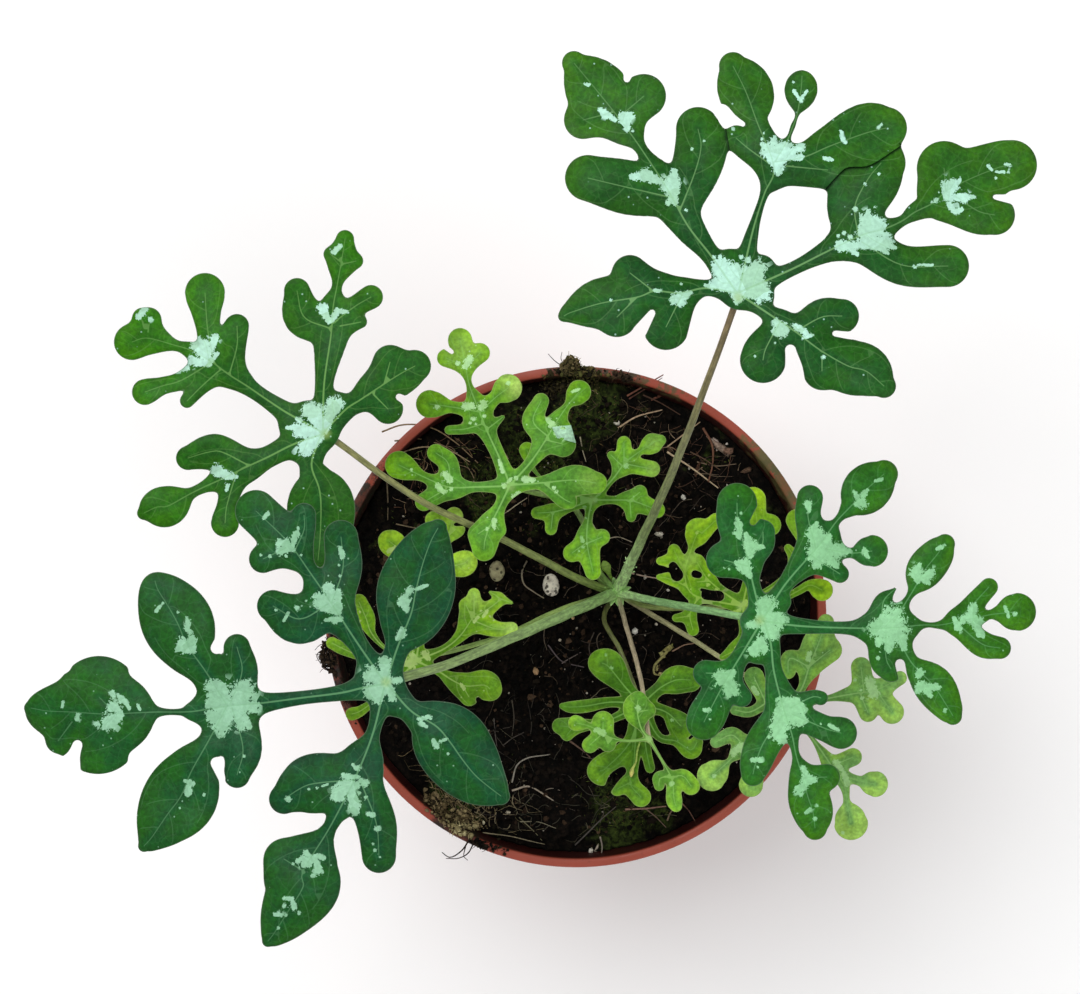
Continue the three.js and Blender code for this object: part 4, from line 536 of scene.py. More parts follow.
# Silver patches. Each is a line of (x, y, half width) on the plan that starts nearest the node, so that
# its streaks run outwards; a lone spot is a fleck.
PATCHES = {
    "lower_left": [
        [[228, 704, 7], [217, 691, 11]], [[234, 704, 8], [243, 693, 12]], [[226, 708, 7], [211, 703, 6]],
        [[223, 714, 7], [211, 717, 6]], [[228, 712, 8], [221, 726, 9]], [[238, 707, 7], [252, 706, 7]],
        [[236, 712, 4], [241, 726, 4.5]], [[244, 714, 3], [249, 727, 3]], [[246, 694, 4], [252, 688, 3]],
        [[121, 712, 2], [113, 706, 6]], [[121, 715, 3], [110, 723, 9]], [[112, 693, 3], [114, 697, 1.5]],
        [[118, 694, 1.2], [121, 702, 2]], [[122, 697, 2], [129, 708, 2]], [[78, 715, 2.4], [77, 720, 2]],
        [[63, 702, 1.6], [62, 707, 1.5]], [[97, 724, 2.6]], [[138, 705, 1.6], [140, 710, 1.3]],
        [[194, 652, 2], [184, 646, 8]], [[194, 650, 2], [192, 641, 5]], [[187, 629, 3], [188, 622, 3]],
        [[190, 632, 2.6]], [[156, 611, 2], [160, 606, 1.8]], [[163, 603, 1.5]], [[178, 612, 1.5]],
        [[187, 618, 1.6]], [[190, 781, 2], [188, 793, 4]], [[185, 781, 1.6], [193, 784, 2.2]],
        [[180, 808, 1.3]], [[204, 795, 1.8]], [[213, 728, 1.8]], [[244, 756, 1.8]], [[240, 772, 1.2]],
        [[388, 681, 4], [372, 676, 9]], [[388, 684, 4], [372, 691, 9]], [[386, 677, 4], [385, 662, 6]],
        [[386, 688, 4], [377, 700, 5]], [[390, 688, 4], [392, 698, 4]], [[394, 681, 3], [399, 680, 3.5]],
        [[407, 611, 2], [404, 602, 6.5]], [[406, 596, 2], [410, 590, 4]], [[417, 589, 1.8], [427, 585, 1.8]],
        [[397, 639, 2], [402, 633, 5]], [[418, 719, 1.6], [430, 717, 2.3]], [[421, 723, 2], [427, 727, 1.4]],
        [[433, 740, 2], [436, 746, 3]], [[440, 741, 1.5], [447, 739, 1.4]], [[448, 754, 1.5]],
        [[336, 612, 3], [322, 602, 8.5]], [[333, 606, 4], [329, 588, 6]], [[338, 608, 3], [338, 592, 3.6]],
        [[339, 613, 2], [341, 605, 2.2]], [[333, 619, 2.4], [326, 620, 2]], [[334, 621, 2.6],
         [340, 619, 3.2]], [[297, 608, 2.8]], [[276, 610, 1.5]], [[288, 613, 1.5], [284, 621, 1.3]],
        [[340, 548, 2], [342, 556, 3]], [[339, 565, 1.3]], [[306, 601, 1.4]], [[340, 576, 1.6]],
        [[292, 549, 3], [285, 544, 5.5]], [[291, 549, 3], [280, 551, 4.5]], [[292, 547, 2], [296, 534, 4]],
        [[278, 545, 2.5], [279, 540, 2]], [[270, 556, 1.8]], [[261, 555, 1.4]], [[301, 555, 1.4]],
        [[286, 556, 1.6]], [[298, 528, 1.5]], [[264, 518, 2], [268, 513, 2.3]], [[358, 777, 2],
         [344, 776, 3]], [[356, 785, 4], [344, 786, 6.5]], [[352, 787, 4], [336, 792, 6]], [[334, 797, 3.5],
         [342, 799, 3]], [[351, 791, 4], [354, 804, 6]], [[353, 802, 5], [355, 812, 4]], [[361, 781, 3],
         [365, 783, 4]], [[357, 768, 3]], [[353, 765, 1.6]], [[359, 793, 1.8]], [[366, 797, 2]],
        [[368, 814, 2], [373, 815, 2.4]], [[377, 829, 2.8]], [[373, 844, 1.5]], [[375, 850, 1.8]],
        [[380, 857, 1.2]], [[317, 788, 1.6]], [[309, 789, 1.5]], [[288, 799, 3]], [[322, 786, 1.1],
         [328, 784, 1.1]], [[316, 857, 3], [306, 863, 5.5]], [[316, 860, 2], [318, 870, 5]], [[318, 855, 2],
         [323, 858, 2.8]], [[311, 857, 2], [306, 853, 3]], [[303, 858, 3], [297, 861, 2.4]],
        [[293, 864, 1.6]], [[313, 876, 2.3]], [[292, 899, 2], [284, 898, 1.9]], [[292, 900, 2],
         [294, 907, 3]], [[284, 906, 2]], [[299, 913, 1.9]], [[281, 915, 2.2], [275, 914, 2]],
        [[286, 915, 1.5]], [[278, 928, 1.6]],
    ],
    "upper_left": [
        [[325, 430, 4], [329, 418, 5.5], [334, 405, 8]], [[323, 430, 4], [313, 412, 9.5]], [[321, 433, 4],
         [301, 431, 8]], [[296, 427, 3.5], [287, 428, 2]], [[321, 437, 3], [306, 448, 9]], [[299, 420, 3],
         [296, 418, 1.5]], [[210, 362, 3], [202, 347, 9.5]], [[211, 350, 3], [215, 338, 4.5]],
        [[213, 360, 1.6], [217, 354, 2.4]], [[208, 364, 3], [192, 361, 5]], [[187, 368, 3], [176, 371, 1.8]],
        [[329, 322, 2.2], [323, 309, 5.5]], [[332, 321, 2], [337, 312, 4]], [[340, 311, 2.6],
         [347, 312, 1.5]], [[236, 477, 2], [226, 475, 4.5], [216, 470, 5.5]], [[228, 485, 1.8],
         [226, 491, 1.4]], [[340, 246, 2.4], [334, 252, 2.6]], [[145, 309, 3], [139, 317, 3]],
        [[150, 319, 2.5]], [[270, 536, 1.8]],
    ],
    "upper_right": [
        [[735, 290, 5], [723, 267, 9]], [[737, 290, 5], [735, 270, 7]], [[742, 290, 6], [752, 276, 14]],
        [[745, 293, 5], [759, 290, 12]], [[732, 289, 4], [717, 283, 7]], [[712, 287, 3], [705, 285, 1.6]],
        [[714, 257, 1.8]], [[720, 257, 2.2]], [[741, 257, 2]], [[748, 260, 3.2]], [[735, 294, 4],
         [738, 300, 4]], [[778, 168, 4], [772, 152, 9.5]], [[779, 163, 6], [783, 150, 9]], [[784, 155, 3],
         [801, 147, 4.5]], [[786, 158, 3], [801, 157, 3]], [[766, 148, 3], [761, 144, 1.6]], [[774, 142, 4],
         [775, 137, 2]], [[778, 170, 5]], [[762, 139, 1.6]], [[764, 133, 1.2]], [[842, 140, 1.6],
         [841, 131, 1.6]], [[843, 139, 2], [846, 143, 1.2]], [[878, 128, 1.3], [882, 124, 1.2]],
        [[824, 158, 2], [832, 160, 1.9]], [[801, 101, 2], [794, 91, 1.8]], [[801, 99, 2], [807, 91, 1.6]],
        [[793, 82, 1.3]], [[862, 245, 4], [868, 222, 9]], [[866, 244, 5], [877, 229, 10]], [[872, 244, 5],
         [884, 241, 9]], [[860, 244, 4], [880, 247, 4]], [[867, 218, 5], [868, 211, 2]], [[888, 245, 4],
         [895, 248, 1.6]], [[884, 250, 3], [888, 253, 1.8]], [[857, 246, 3], [841, 246, 6.5]],
        [[852, 250, 3], [857, 254, 2.5]], [[838, 236, 1.8]], [[844, 233, 2]], [[850, 237, 2.6]],
        [[855, 209, 2.5]], [[865, 184, 1.6]], [[879, 174, 1.5]], [[875, 207, 1.5]], [[946, 198, 3],
         [950, 188, 8.5]], [[955, 185, 3.5], [959, 180, 2.4]], [[949, 198, 3], [964, 197, 5]],
        [[966, 197, 3.6], [974, 197, 1.8]], [[949, 204, 2.6], [954, 211, 2.6]], [[956, 212, 2.8],
         [962, 209, 2]], [[936, 200, 2.5]], [[939, 192, 1.2]], [[932, 202, 1.4]], [[988, 166, 1.8],
         [992, 170, 1.2]], [[996, 172, 1.1], [1004, 172, 1.5]], [[1005, 164, 1.4], [1010, 165, 1.4]],
        [[1008, 172, 1.3]], [[996, 178, 1.4]], [[918, 265, 1.1], [932, 265, 1.4]], [[915, 267, 1.8]],
        [[776, 321, 3], [781, 329, 7.5]], [[774, 332, 3], [783, 334, 3.6]], [[795, 326, 3], [806, 333, 3]],
        [[803, 338, 1.5], [813, 335, 1.5]], [[824, 357, 2]], [[755, 356, 1.5]], [[775, 343, 1.2]],
        [[675, 203, 3], [671, 187, 9.5]], [[674, 180, 5.5], [674, 171, 3]], [[668, 203, 2.6]],
        [[660, 181, 3.4], [645, 175, 6.5]], [[645, 176, 5.5], [631, 177, 2.6]], [[628, 130, 2],
         [625, 120, 6.5]], [[622, 116, 4], [630, 116, 4]], [[615, 120, 2], [604, 113, 4.2]],
        [[600, 110, 2.6]], [[633, 131, 1.5]], [[585, 84, 1.4], [589, 85, 1.8]], [[690, 293, 2.4],
         [680, 298, 6.5]], [[686, 295, 3], [674, 299, 5]], [[680, 304, 3], [683, 303, 3]], [[654, 290, 1.8],
         [659, 291, 1.8]], [[611, 300, 1.5]], [[681, 284, 1.5]], [[692, 149, 1.6]], [[704, 141, 1.3]],
        [[686, 210, 1.8]], [[733, 129, 1.9]],
    ],
    "right": [
        [[761, 616, 5], [766, 606, 10]], [[768, 617, 6], [776, 620, 9.5]], [[765, 626, 6], [772, 631, 8]],
        [[757, 624, 4], [751, 625, 4]], [[761, 641, 5], [754, 651, 6.5]], [[763, 643, 4], [764, 650, 4]],
        [[750, 577, 2], [745, 567, 7.5]], [[744, 562, 3], [737, 563, 2.6]], [[729, 569, 1.4]],
        [[724, 568, 1.1]], [[750, 557, 2.4], [751, 547, 7.5]], [[748, 540, 4.5], [746, 534, 2]],
        [[756, 546, 3.6], [763, 547, 2]], [[739, 536, 3], [739, 524, 3.8]], [[735, 533, 1.8]],
        [[737, 519, 2]], [[741, 513, 1.6]], [[820, 550, 9], [816, 534, 8.5]], [[820, 550, 11],
         [818, 554, 11]], [[824, 549, 9], [838, 551, 8.5]], [[820, 558, 7], [816, 566, 4]], [[829, 558, 6],
         [836, 565, 3.4]], [[826, 540, 6], [829, 536, 3.4]], [[813, 528, 3], [817, 523, 2]], [[841, 550, 5],
         [847, 552, 3]], [[809, 510, 2], [808, 504, 4]], [[856, 504, 2.4], [861, 503, 6]], [[857, 497, 3],
         [855, 492, 1.8]], [[863, 495, 3], [867, 490, 2.2]], [[876, 481, 1.8], [882, 479, 1.8]],
        [[863, 551, 1.6], [868, 557, 2]], [[864, 548, 1.3], [867, 552, 1.8]], [[876, 628, 8],
         [889, 626, 18]], [[890, 640, 7], [888, 650, 3]], [[901, 638, 6], [904, 649, 2.6]], [[895, 616, 6],
         [898, 611, 4]], [[879, 640, 5], [878, 645, 2.5]], [[918, 582, 2], [917, 574, 7.5]], [[918, 568, 4],
         [920, 564, 2]], [[922, 578, 4], [931, 573, 5]], [[925, 580, 4], [929, 583, 2]], [[937, 549, 1.8],
         [941, 547, 2.2]], [[945, 545, 1.3]], [[980, 622, 4], [970, 617, 6]], [[972, 612, 5], [974, 606, 4]],
        [[976, 624, 5], [981, 634, 4]], [[954, 618, 2], [958, 628, 3.8]], [[964, 618, 3.6], [962, 622, 3]],
        [[1005, 607, 1.6], [1009, 617, 1.5]], [[1015, 614, 2.4]], [[920, 672, 4], [918, 676, 3]],
        [[921, 685, 5], [918, 690, 4]], [[926, 687, 3.4], [936, 687, 4.2]], [[928, 692, 4], [931, 696, 2.2]],
        [[945, 710, 1.8]], [[733, 672, 3], [724, 679, 9.5]], [[729, 683, 6], [733, 690, 6]], [[721, 674, 5],
         [717, 676, 4]], [[727, 691, 4], [729, 695, 2.8]], [[704, 710, 1.8], [709, 710, 2.3]],
        [[710, 719, 1.2]], [[783, 703, 6], [795, 701, 5.5]], [[786, 709, 8], [799, 707, 6.5]],
        [[788, 715, 10], [799, 719, 6.5]], [[783, 717, 9], [778, 730, 8.5]], [[778, 734, 7], [783, 740, 5]],
        [[769, 737, 1.8]], [[752, 760, 2], [760, 760, 2.8]], [[758, 767, 1.5]], [[803, 768, 3],
         [806, 773, 2.6]], [[806, 779, 5], [813, 780, 4.2]], [[803, 786, 4.5], [798, 790, 4]],
        [[801, 795, 2.2]], [[806, 813, 1.8], [810, 809, 1.9]], [[817, 805, 1.4]], [[815, 819, 2.3]],
        [[829, 725, 1.8], [838, 730, 1.9]], [[821, 724, 1.2]], [[878, 658, 2]], [[880, 652, 1.1]],
    ],
    "centre_top": [
        [[470, 358, 3], [466, 366, 3.6]], [[458, 363, 2.6]], [[465, 406, 3.6], [472, 406, 3.6]],
        [[481, 408, 3], [484, 403, 3.8]], [[473, 419, 2.3]], [[470, 423, 1.4]], [[476, 424, 1.4]],
        [[484, 416, 2]], [[437, 407, 2.4]], [[445, 474, 3], [450, 480, 3.6]], [[438, 486, 2.8],
         [444, 492, 2.6]], [[451, 489, 2.3]], [[499, 460, 1.5], [503, 472, 1.8]], [[504, 486, 2.6]],
        [[508, 482, 1.6], [511, 479, 1.6]], [[516, 478, 2.2]], [[524, 479, 3], [532, 480, 3]],
        [[514, 497, 3], [519, 494, 3]], [[554, 488, 1.9]], [[556, 492, 1.9]], [[494, 520, 2.4],
         [494, 527, 2.4]], [[487, 529, 1.8]], [[560, 432, 6]], [[547, 418, 2], [552, 424, 3.6]],
        [[572, 392, 1.4], [579, 389, 1.4]], [[411, 470, 1.6]], [[508, 383, 2.2]],
    ],
    "centre": [
        [[584, 508, 2], [583, 513, 2.4]], [[586, 518, 1.3]], [[581, 537, 1.4], [583, 541, 1.8]],
        [[583, 547, 1.6]], [[579, 551, 1.1]], [[587, 544, 1.1]], [[595, 500, 2.2]], [[626, 466, 2.5]],
    ],
    "right_under": [
        [[740, 606, 1.8], [746, 602, 2.4]], [[740, 610, 1.6], [734, 612, 1.6]], [[708, 585, 2]],
        [[709, 575, 1.4]], [[697, 533, 1.5]], [[736, 648, 1.8], [741, 646, 2]], [[716, 590, 2]],
    ],
    "lower_right_under": [
        [[733, 752, 4], [741, 746, 4]], [[870, 682, 5], [874, 694, 5]], [[855, 680, 1.8]], [[861, 690, 1.5]],
        [[862, 698, 2]], [[836, 762, 3], [841, 768, 3]], [[844, 774, 3], [848, 784, 3]], [[809, 653, 2],
         [808, 660, 2.3]], [[753, 688, 2.4], [757, 693, 2.4]], [[714, 776, 2]], [[843, 833, 1.8]],
        [[788, 707, 4]], [[832, 754, 1.6]],
    ],
    "lower_centre": [
        [[641, 704, 3], [636, 700, 3]], [[580, 724, 3]], [[612, 668, 1.6]], [[606, 655, 1.4]],
        [[672, 720, 1.8]],
    ],
    "left_under": [
        [[404, 662, 3], [412, 664, 4.6]], [[424, 653, 3], [428, 658, 3]], [[412, 655, 3], [416, 658, 2]],
        [[436, 662, 1.8]], [[474, 622, 1.3], [478, 617, 1.6]], [[483, 617, 1.4], [487, 611, 2]],
        [[481, 611, 1.2]], [[490, 616, 1.3]], [[494, 620, 1.5]], [[388, 552, 1.6], [396, 546, 1.4]],
        [[461, 684, 1.4], [464, 689, 1.7]], [[360, 612, 1.4]], [[360, 621, 1.4]], [[394, 655, 2]],
    ],
    "young": [
        [[603, 733, 3], [596, 730, 2.5]], [[638, 708, 3]], [[649, 739, 3]], [[672, 784, 2]],
    ],
}

# Where the lobes of young blades are paler: plan x, plan y, reach on the plan, share
PALE_LOBES = {
    "centre_top": [(520, 387, 13, 1.0), (508, 378, 10, 0.6), (463, 349, 22, 0.3), (590, 480, 12, 0.25)],
    "centre": [(655, 444, 9, 0.3), (655, 470, 9, 0.4)],
    "right_under": [(690, 558, 9, 0.35)],
    "left_under": [(476, 598, 11, 0.45), (512, 628, 9, 0.7), (458, 517, 9, 0.6), (466, 563, 10, 0.35)],
}

# Petiole colours at the crown and at the blade
PETIOLE_COLOURS = {
    "lower_left": ["#92b872", "#7d9458"],
    "upper_left": ["#82984e", "#7c7a4c"],
    "upper_right": ["#8cb06c", "#665438"],
    "right": ["#88ae70", "#72a064"],
    "centre_top": ["#6f8a48", "#7c9a50"],
    "centre": ["#6f8a48", "#7c9a50"],
    "right_under": ["#77794c", "#86994f"],
    "lower_right_under": ["#9a8f70", "#979a6a"],
    "lower_centre": ["#5e5a34", "#6a7440"],
    "left_under": ["#76864f", "#8fae58"],
    "young": ["#9a8b76", "#a09275"],
}


def linear(code):
    """A colour code as linear red, green and blue."""
    values = [int(code[i:i + 2], 16) / 255 for i in (1, 3, 5)]
    return tuple(v / 12.92 if v <= 0.04045 else ((v + 0.055) / 1.055) ** 2.4 for v in values)


def colour_of(code):
    return np.array(linear(code))


def place(x, y, z):
    """Points of the plan at heights in millimetres, as they stand in the room in metres."""
    x, y, z = (np.asarray(v, float) for v in (x, y, z))
    scale = PLAN_STEP * (EYE_HEIGHT + POT_HEIGHT - z) / EYE_HEIGHT
    right = (EYE_CENTRE[0] - RIM_CENTRE[0]) * PLAN_STEP + (x - EYE_CENTRE[0]) * scale
    up = (RIM_CENTRE[1] - EYE_CENTRE[1]) * PLAN_STEP - (y - EYE_CENTRE[1]) * scale
    return np.stack(np.broadcast_arrays(right, up, z), axis=-1) * MM


# Lines on the plan
def smooth_line(points, spans=6):
    """A smooth line through points of any number of values."""
    points = np.array(points, float)
    if len(points) == 2:
        return points
    first = 2 * points[0] - points[1]
    last = 2 * points[-1] - points[-2]
    first[2:] = points[0][2:]
    last[2:] = points[-1][2:]
    guide = np.vstack([first, points, last])
    line = []
    for a, b, c, d in zip(guide[:-3], guide[1:-2], guide[2:-1], guide[3:]):
        for t in np.arange(spans) / spans:
            line.append(0.5 * (2 * b + (c - a) * t + (2 * a - 5 * b + 4 * c - d) * t ** 2
                               + (3 * b - a - 3 * c + d) * t ** 3))
    return np.array(line + [points[-1]])


def even_line(line, step):
    """The same line with evenly spaced points."""
    lengths = np.concatenate([[0], np.cumsum(np.hypot(*np.diff(line[:, :2], axis=0).T))])
    marks = np.linspace(0, lengths[-1], max(2, round(lengths[-1] / step) + 1))
    return np.stack([np.interp(marks, lengths, column) for column in line.T], axis=1)


def even_loop(loop, step):
    return even_line(np.vstack([loop, loop[:1]]), step)[:-1]


def loop_area(loop):
    x, y = loop.T
    return 0.5 * float(np.dot(x, np.roll(y, -1)) - np.dot(y, np.roll(x, -1)))


def turned(vector, angle):
    c, s = math.cos(angle), math.sin(angle)
    return np.array([c * vector[0] - s * vector[1], s * vector[0] + c * vector[1]])


def spans_of(lines):
    """The straight spans of each line of (x, y, half width), a row of both ends for each span."""
    return [np.hstack([line[:-1], line[1:]]) for line in lines]


def along_spans(points, spans):
    """For each point and span, the share along the span of its nearest spot and how far off that lies."""
    ax, ay, _, bx, by, _ = spans.T
    x, y = points[:, 0:1], points[:, 1:2]
    dx, dy = bx - ax, by - ay
    share = np.clip(((x - ax) * dx + (y - ay) * dy) / (dx * dx + dy * dy + 1e-9), 0, 1)
    return share, np.hypot(x - ax - share * dx, y - ay - share * dy)


class Strokes:
    """Tapering round-ended strokes on the plan, each a line of (x, y, half width)."""

    def __init__(self, lines):
        spans = spans_of(lines)
        self.spans = np.vstack(spans)
        self.starts = np.cumsum([0] + [len(span) for span in spans[:-1]])

    def outside(self, points):
        """How far each point lies outside each stroke, a column for each stroke."""
        wide, end = self.spans[:, 2], self.spans[:, 5]
        columns = []
        for low in range(0, len(points), CHUNK):
            share, away = along_spans(points[low:low + CHUNK], self.spans)
            away = away - wide - share * (end - wide)
            columns.append(np.minimum.reduceat(away, self.starts, axis=1))
        return np.vstack(columns)


class Patches:
    """Silver patches on a blade: how far inside one a point is, and its way out from that patch's start."""

    def __init__(self, lines):
        self.starts = np.array([line[0][:2] for line in lines], float)
        lines = [smooth_line(line if len(line) > 1 else line * 2) for line in lines]
        spans = spans_of(lines)
        self.spans = np.vstack(spans)
        self.owners = np.repeat(np.arange(len(lines)), [len(span) for span in spans])
        self.strokes = Strokes(lines)

    def at(self, points):
        """1 on a patch's middle line, 0 at its rim and negative outside, and the offset from its start."""
        wide, end = self.spans[:, 2], self.spans[:, 5]
        depths, rays = [], []
        for low in range(0, len(points), CHUNK):
            part = points[low:low + CHUNK]
            share, away = along_spans(part, self.spans)
            inside = 1 - away / (wide + share * (end - wide))
            best = inside.argmax(axis=1)
            depths.append(inside.max(axis=1))
            rays.append(part - self.starts[self.owners[best]])
        return np.clip(np.concatenate(depths), -3, 1), np.vstack(rays)


class Lap:
    """A line where the lobe on its left lies over the one on its right."""

    def __init__(self, line):
        self.line = even_line(smooth_line(line), LAP_STEP)
        way = np.gradient(self.line, axis=0)
        way /= np.hypot(*way.T)[:, None]
        self.left = np.column_stack([way[:, 1], -way[:, 0]])

    def sides(self):
        """The line just left and just right of the step."""
        return [self.line + self.left * shift for shift in (LAP_SPLIT, -LAP_SPLIT)]

    def at(self, points):
        """How far the lap lifts points in millimetres, and how near they lie below its edge."""
        away = np.hypot(points[:, 0:1] - self.line[:, 0], points[:, 1:2] - self.line[:, 1])
        nearest = away.argmin(axis=1)
        away = away.min(axis=1)
        above = ((points - self.line[nearest]) * self.left[nearest]).sum(axis=1) > 0
        lift = np.where(above, LAP_LIFT, -LAP_SINK) * np.exp(-(away / LAP_REACH) ** 2)
        return lift, np.where(above, 0, np.exp(-away / LAP_SHADOW))


# Blade plans
def traced(grid, values):
    """The closed lines where a grid of values passes zero."""
    within = values < 0
    count = within[:-1, :-1].astype(int) + within[1:, :-1] + within[:-1, 1:] + within[1:, 1:]
    following = {}
    for j, i in np.argwhere((count > 0) & (count < 4)):
        corners = [(j, i), (j, i + 1), (j + 1, i + 1), (j + 1, i)]
        crossings = []
        for here, there in zip(corners, corners[1:] + corners[:1]):
            v0, v1 = values[here], values[there]
            if (v0 < 0) != (v1 < 0):
                spot = grid[here] + (grid[there] - grid[here]) * v0 / (v0 - v1)
                crossings.append((frozenset((here, there)), v0 < 0, spot))
        for k, (key, leaves, spot) in enumerate(crossings):
            if leaves:
                following[key] = (crossings[(k + 1) % len(crossings)][0], spot)
    loops = []
    while following:
        key = next(iter(following))
        loop = []
        while key in following:
            key, spot = following.pop(key)
            loop.append(spot)
        loops.append(np.array(loop))
    return loops


class BladePlan:
    """One blade's outline and height over the plan."""

    def __init__(self, name):
        self.leaf = LEAVES[name]
        plan = BLADES[name]
        self.ribs = [smooth_line(rib) for rib in plan["ribs"]]
        self.fill = Strokes(self.ribs + [smooth_line(web) for web in plan["webs"]])
        self.cuts = Strokes([smooth_line(cut) for cut in plan["cuts"]]) if plan["cuts"] else None
        reach = np.vstack([np.array(rib, float) for rib in plan["ribs"]])
        self.low = (reach[:, :2] - reach[:, 2:]).min(axis=0) - PLAN_MARGIN
        self.high = (reach[:, :2] + reach[:, 2:]).max(axis=0) + PLAN_MARGIN
        self.size = float(np.hypot(*(self.high - self.low)))

    def outside(self, points):
        """How far points lie outside the whole blade, negative inside."""
        soft = self.leaf["soft"]
        away = np.clip(self.fill.outside(points), -FAR_OUTSIDE, FAR_OUTSIDE)
        total = -soft * np.log(np.exp(-away / soft).sum(axis=1))
        if self.cuts:
            total = np.maximum(total, -self.cuts.outside(points).min(axis=1))
        return total

    def height(self, points, outside):
        """The blade's middle surface in millimetres, as in the part's source."""
        node, lean, arch = (self.leaf[key] for key in ("node", "lean", "arch"))
        x, y = points.T
        dx, dy = (x - node[0]) / 100, (y - node[1]) / 100
        far = np.hypot(dx, dy)
        inside = 1 - np.exp(np.minimum(0, outside) / EDGE_TURN_WIDTH)
        wave = np.sin(x / LONG_WAVE[0] + y / LONG_WAVE[1] + self.leaf["height"])
        wave = wave + 0.6 * np.sin(y / SHORT_WAVE[1] - x / SHORT_WAVE[0])
        return (POT_HEIGHT + self.leaf["height"] + lean[0] * dx + lean[1] * dy + arch[0] * far
                - arch[1] * far ** 2 + EDGE_TURN * inside + RIPPLE * wave * np.minimum(1, far))

    def over(self, path, gaps):
        """Spots over a path of the plan, at gaps in millimetres over the blade's middle surface."""
        path = np.array(path, float)
        return place(*path.T, self.height(path, self.outside(path)) + gaps)

    def loops(self):
        """The blade's outlines, evenly spaced, the outer one first."""
        xs = np.arange(self.low[0], self.high[0], TRACE_STEP)
        ys = np.arange(self.low[1], self.high[1], TRACE_STEP)
        grid = np.stack(np.meshgrid(xs, ys), axis=-1)
        values = self.outside(grid.reshape(-1, 2)).reshape(grid.shape[:2]) + EDGE_INSET
        loops = [even_loop(loop, OUTLINE_STEP) for loop in traced(grid, values)]
        loops = [loop for loop in loops if abs(loop_area(loop)) > SMALLEST_LOOP]
        return sorted(loops, key=lambda loop: -abs(loop_area(loop)))


def side_veins(plan, draw, spacing):
    """Side veins off every rib: they leave at about 50 degrees, bend towards the tip, and run along
    the margin where they meet it."""
    veins = []
    for rib in plan.ribs:
        line = even_line(rib, RIB_STEP)
        along = spacing * (0.3 + 0.5 * draw.random())
        side = 1
        while along < RIB_STEP * len(line) - 6:
            at = int(along / RIB_STEP)
            along += spacing * (0.42 + 0.22 * draw.random())
            side = -side
            if line[at, 2] < NARROW_RIB:
                continue
            heading = line[min(at + 2, len(line) - 1), :2] - line[max(at - 2, 0), :2]
            angle = side * (VEIN_ANGLE + VEIN_ANGLE_SPREAD * draw.random())
            heading = turned(heading / np.hypot(*heading), angle)
            trail = grow_vein(plan, veins, line[at, :2], heading, side)
            if len(trail) > 3:
                widths = np.linspace(SIDE_VEIN_WIDTH, SIDE_VEIN_WIDTH * 0.4, len(trail))
                veins.append(np.column_stack([trail, widths]))
    return veins


def grow_vein(plan, veins, start, heading, side):
    """The trail of one side vein, up to the margin or to another vein."""
    spot = start
    trail = [spot]
    others = np.vstack([vein[:, :2] for vein in veins]) if veins else np.empty((0, 2))
    for _ in range(VEIN_SEGMENTS):
        ahead = spot + heading * VEIN_STEP
        here, right, down = plan.outside(np.array([ahead, ahead + [1, 0], ahead + [0, 1]]))
        if here > -VEIN_END:
            break
        if len(others) and np.hypot(*(others - ahead).T).min() < VEIN_GAP:
            break
        spot = ahead
        trail.append(spot)
        heading = turned(heading, -side * VEIN_BEND)
        if here > -MARGIN_REACH:
            slope = np.array([right - here, down - here])
            margin = turned(slope, -side * math.pi / 2)
            heading = heading + MARGIN_PULL * margin / (np.hypot(*margin) + 1e-6)
            heading /= np.hypot(*heading)
    return trail


def rib_lines(name, plan):
    """The main veins along the ribs, thin at their tips."""
    ribs = []
    for rib in plan.ribs:
        line = even_line(rib, VEIN_STEP)
        from_node = math.hypot(*(line[0, :2] - LEAVES[name]["node"]))
        start = 0.75 if from_node < 14 else 0.42
        line[:, 2] = np.linspace(start, 0.08, len(line)) * min(1, 0.55 + plan.size / 900)
        ribs.append(line)
    return ribs


# Meshes
def mesh_from(name, spots, faces, values=None, colours=None):
    """A mesh object with smooth faces, and with point attributes where given."""
    mesh = bpy.data.meshes.new(name)
    mesh.from_pydata([tuple(spot) for spot in spots], [], faces)
    mesh.polygons.foreach_set("use_smooth", [True] * len(mesh.polygons))
    for key, column in (values or {}).items():
        mesh.attributes.new(key, "FLOAT", "POINT").data.foreach_set("value", np.asarray(column, float))
    if colours is not None:
        rgba = np.hstack([colours, np.ones((len(colours), 1))])
        mesh.attributes.new("tone", "FLOAT_COLOR", "POINT").data.foreach_set("color", rgba.ravel())
    piece = bpy.data.objects.new(name, mesh)
    bpy.context.scene.collection.objects.link(piece)
    return piece


def finish_piece(piece, material, replaced=None):
    piece.data.materials.append(material)
    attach(piece, "root")
    if replaced:
        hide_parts(replaced)


def apply_modifiers(piece):
    graph = bpy.context.evaluated_depsgraph_get()
    done = bpy.data.meshes.new_from_object(piece.evaluated_get(graph))
    piece.modifiers.clear()
    piece.data = done


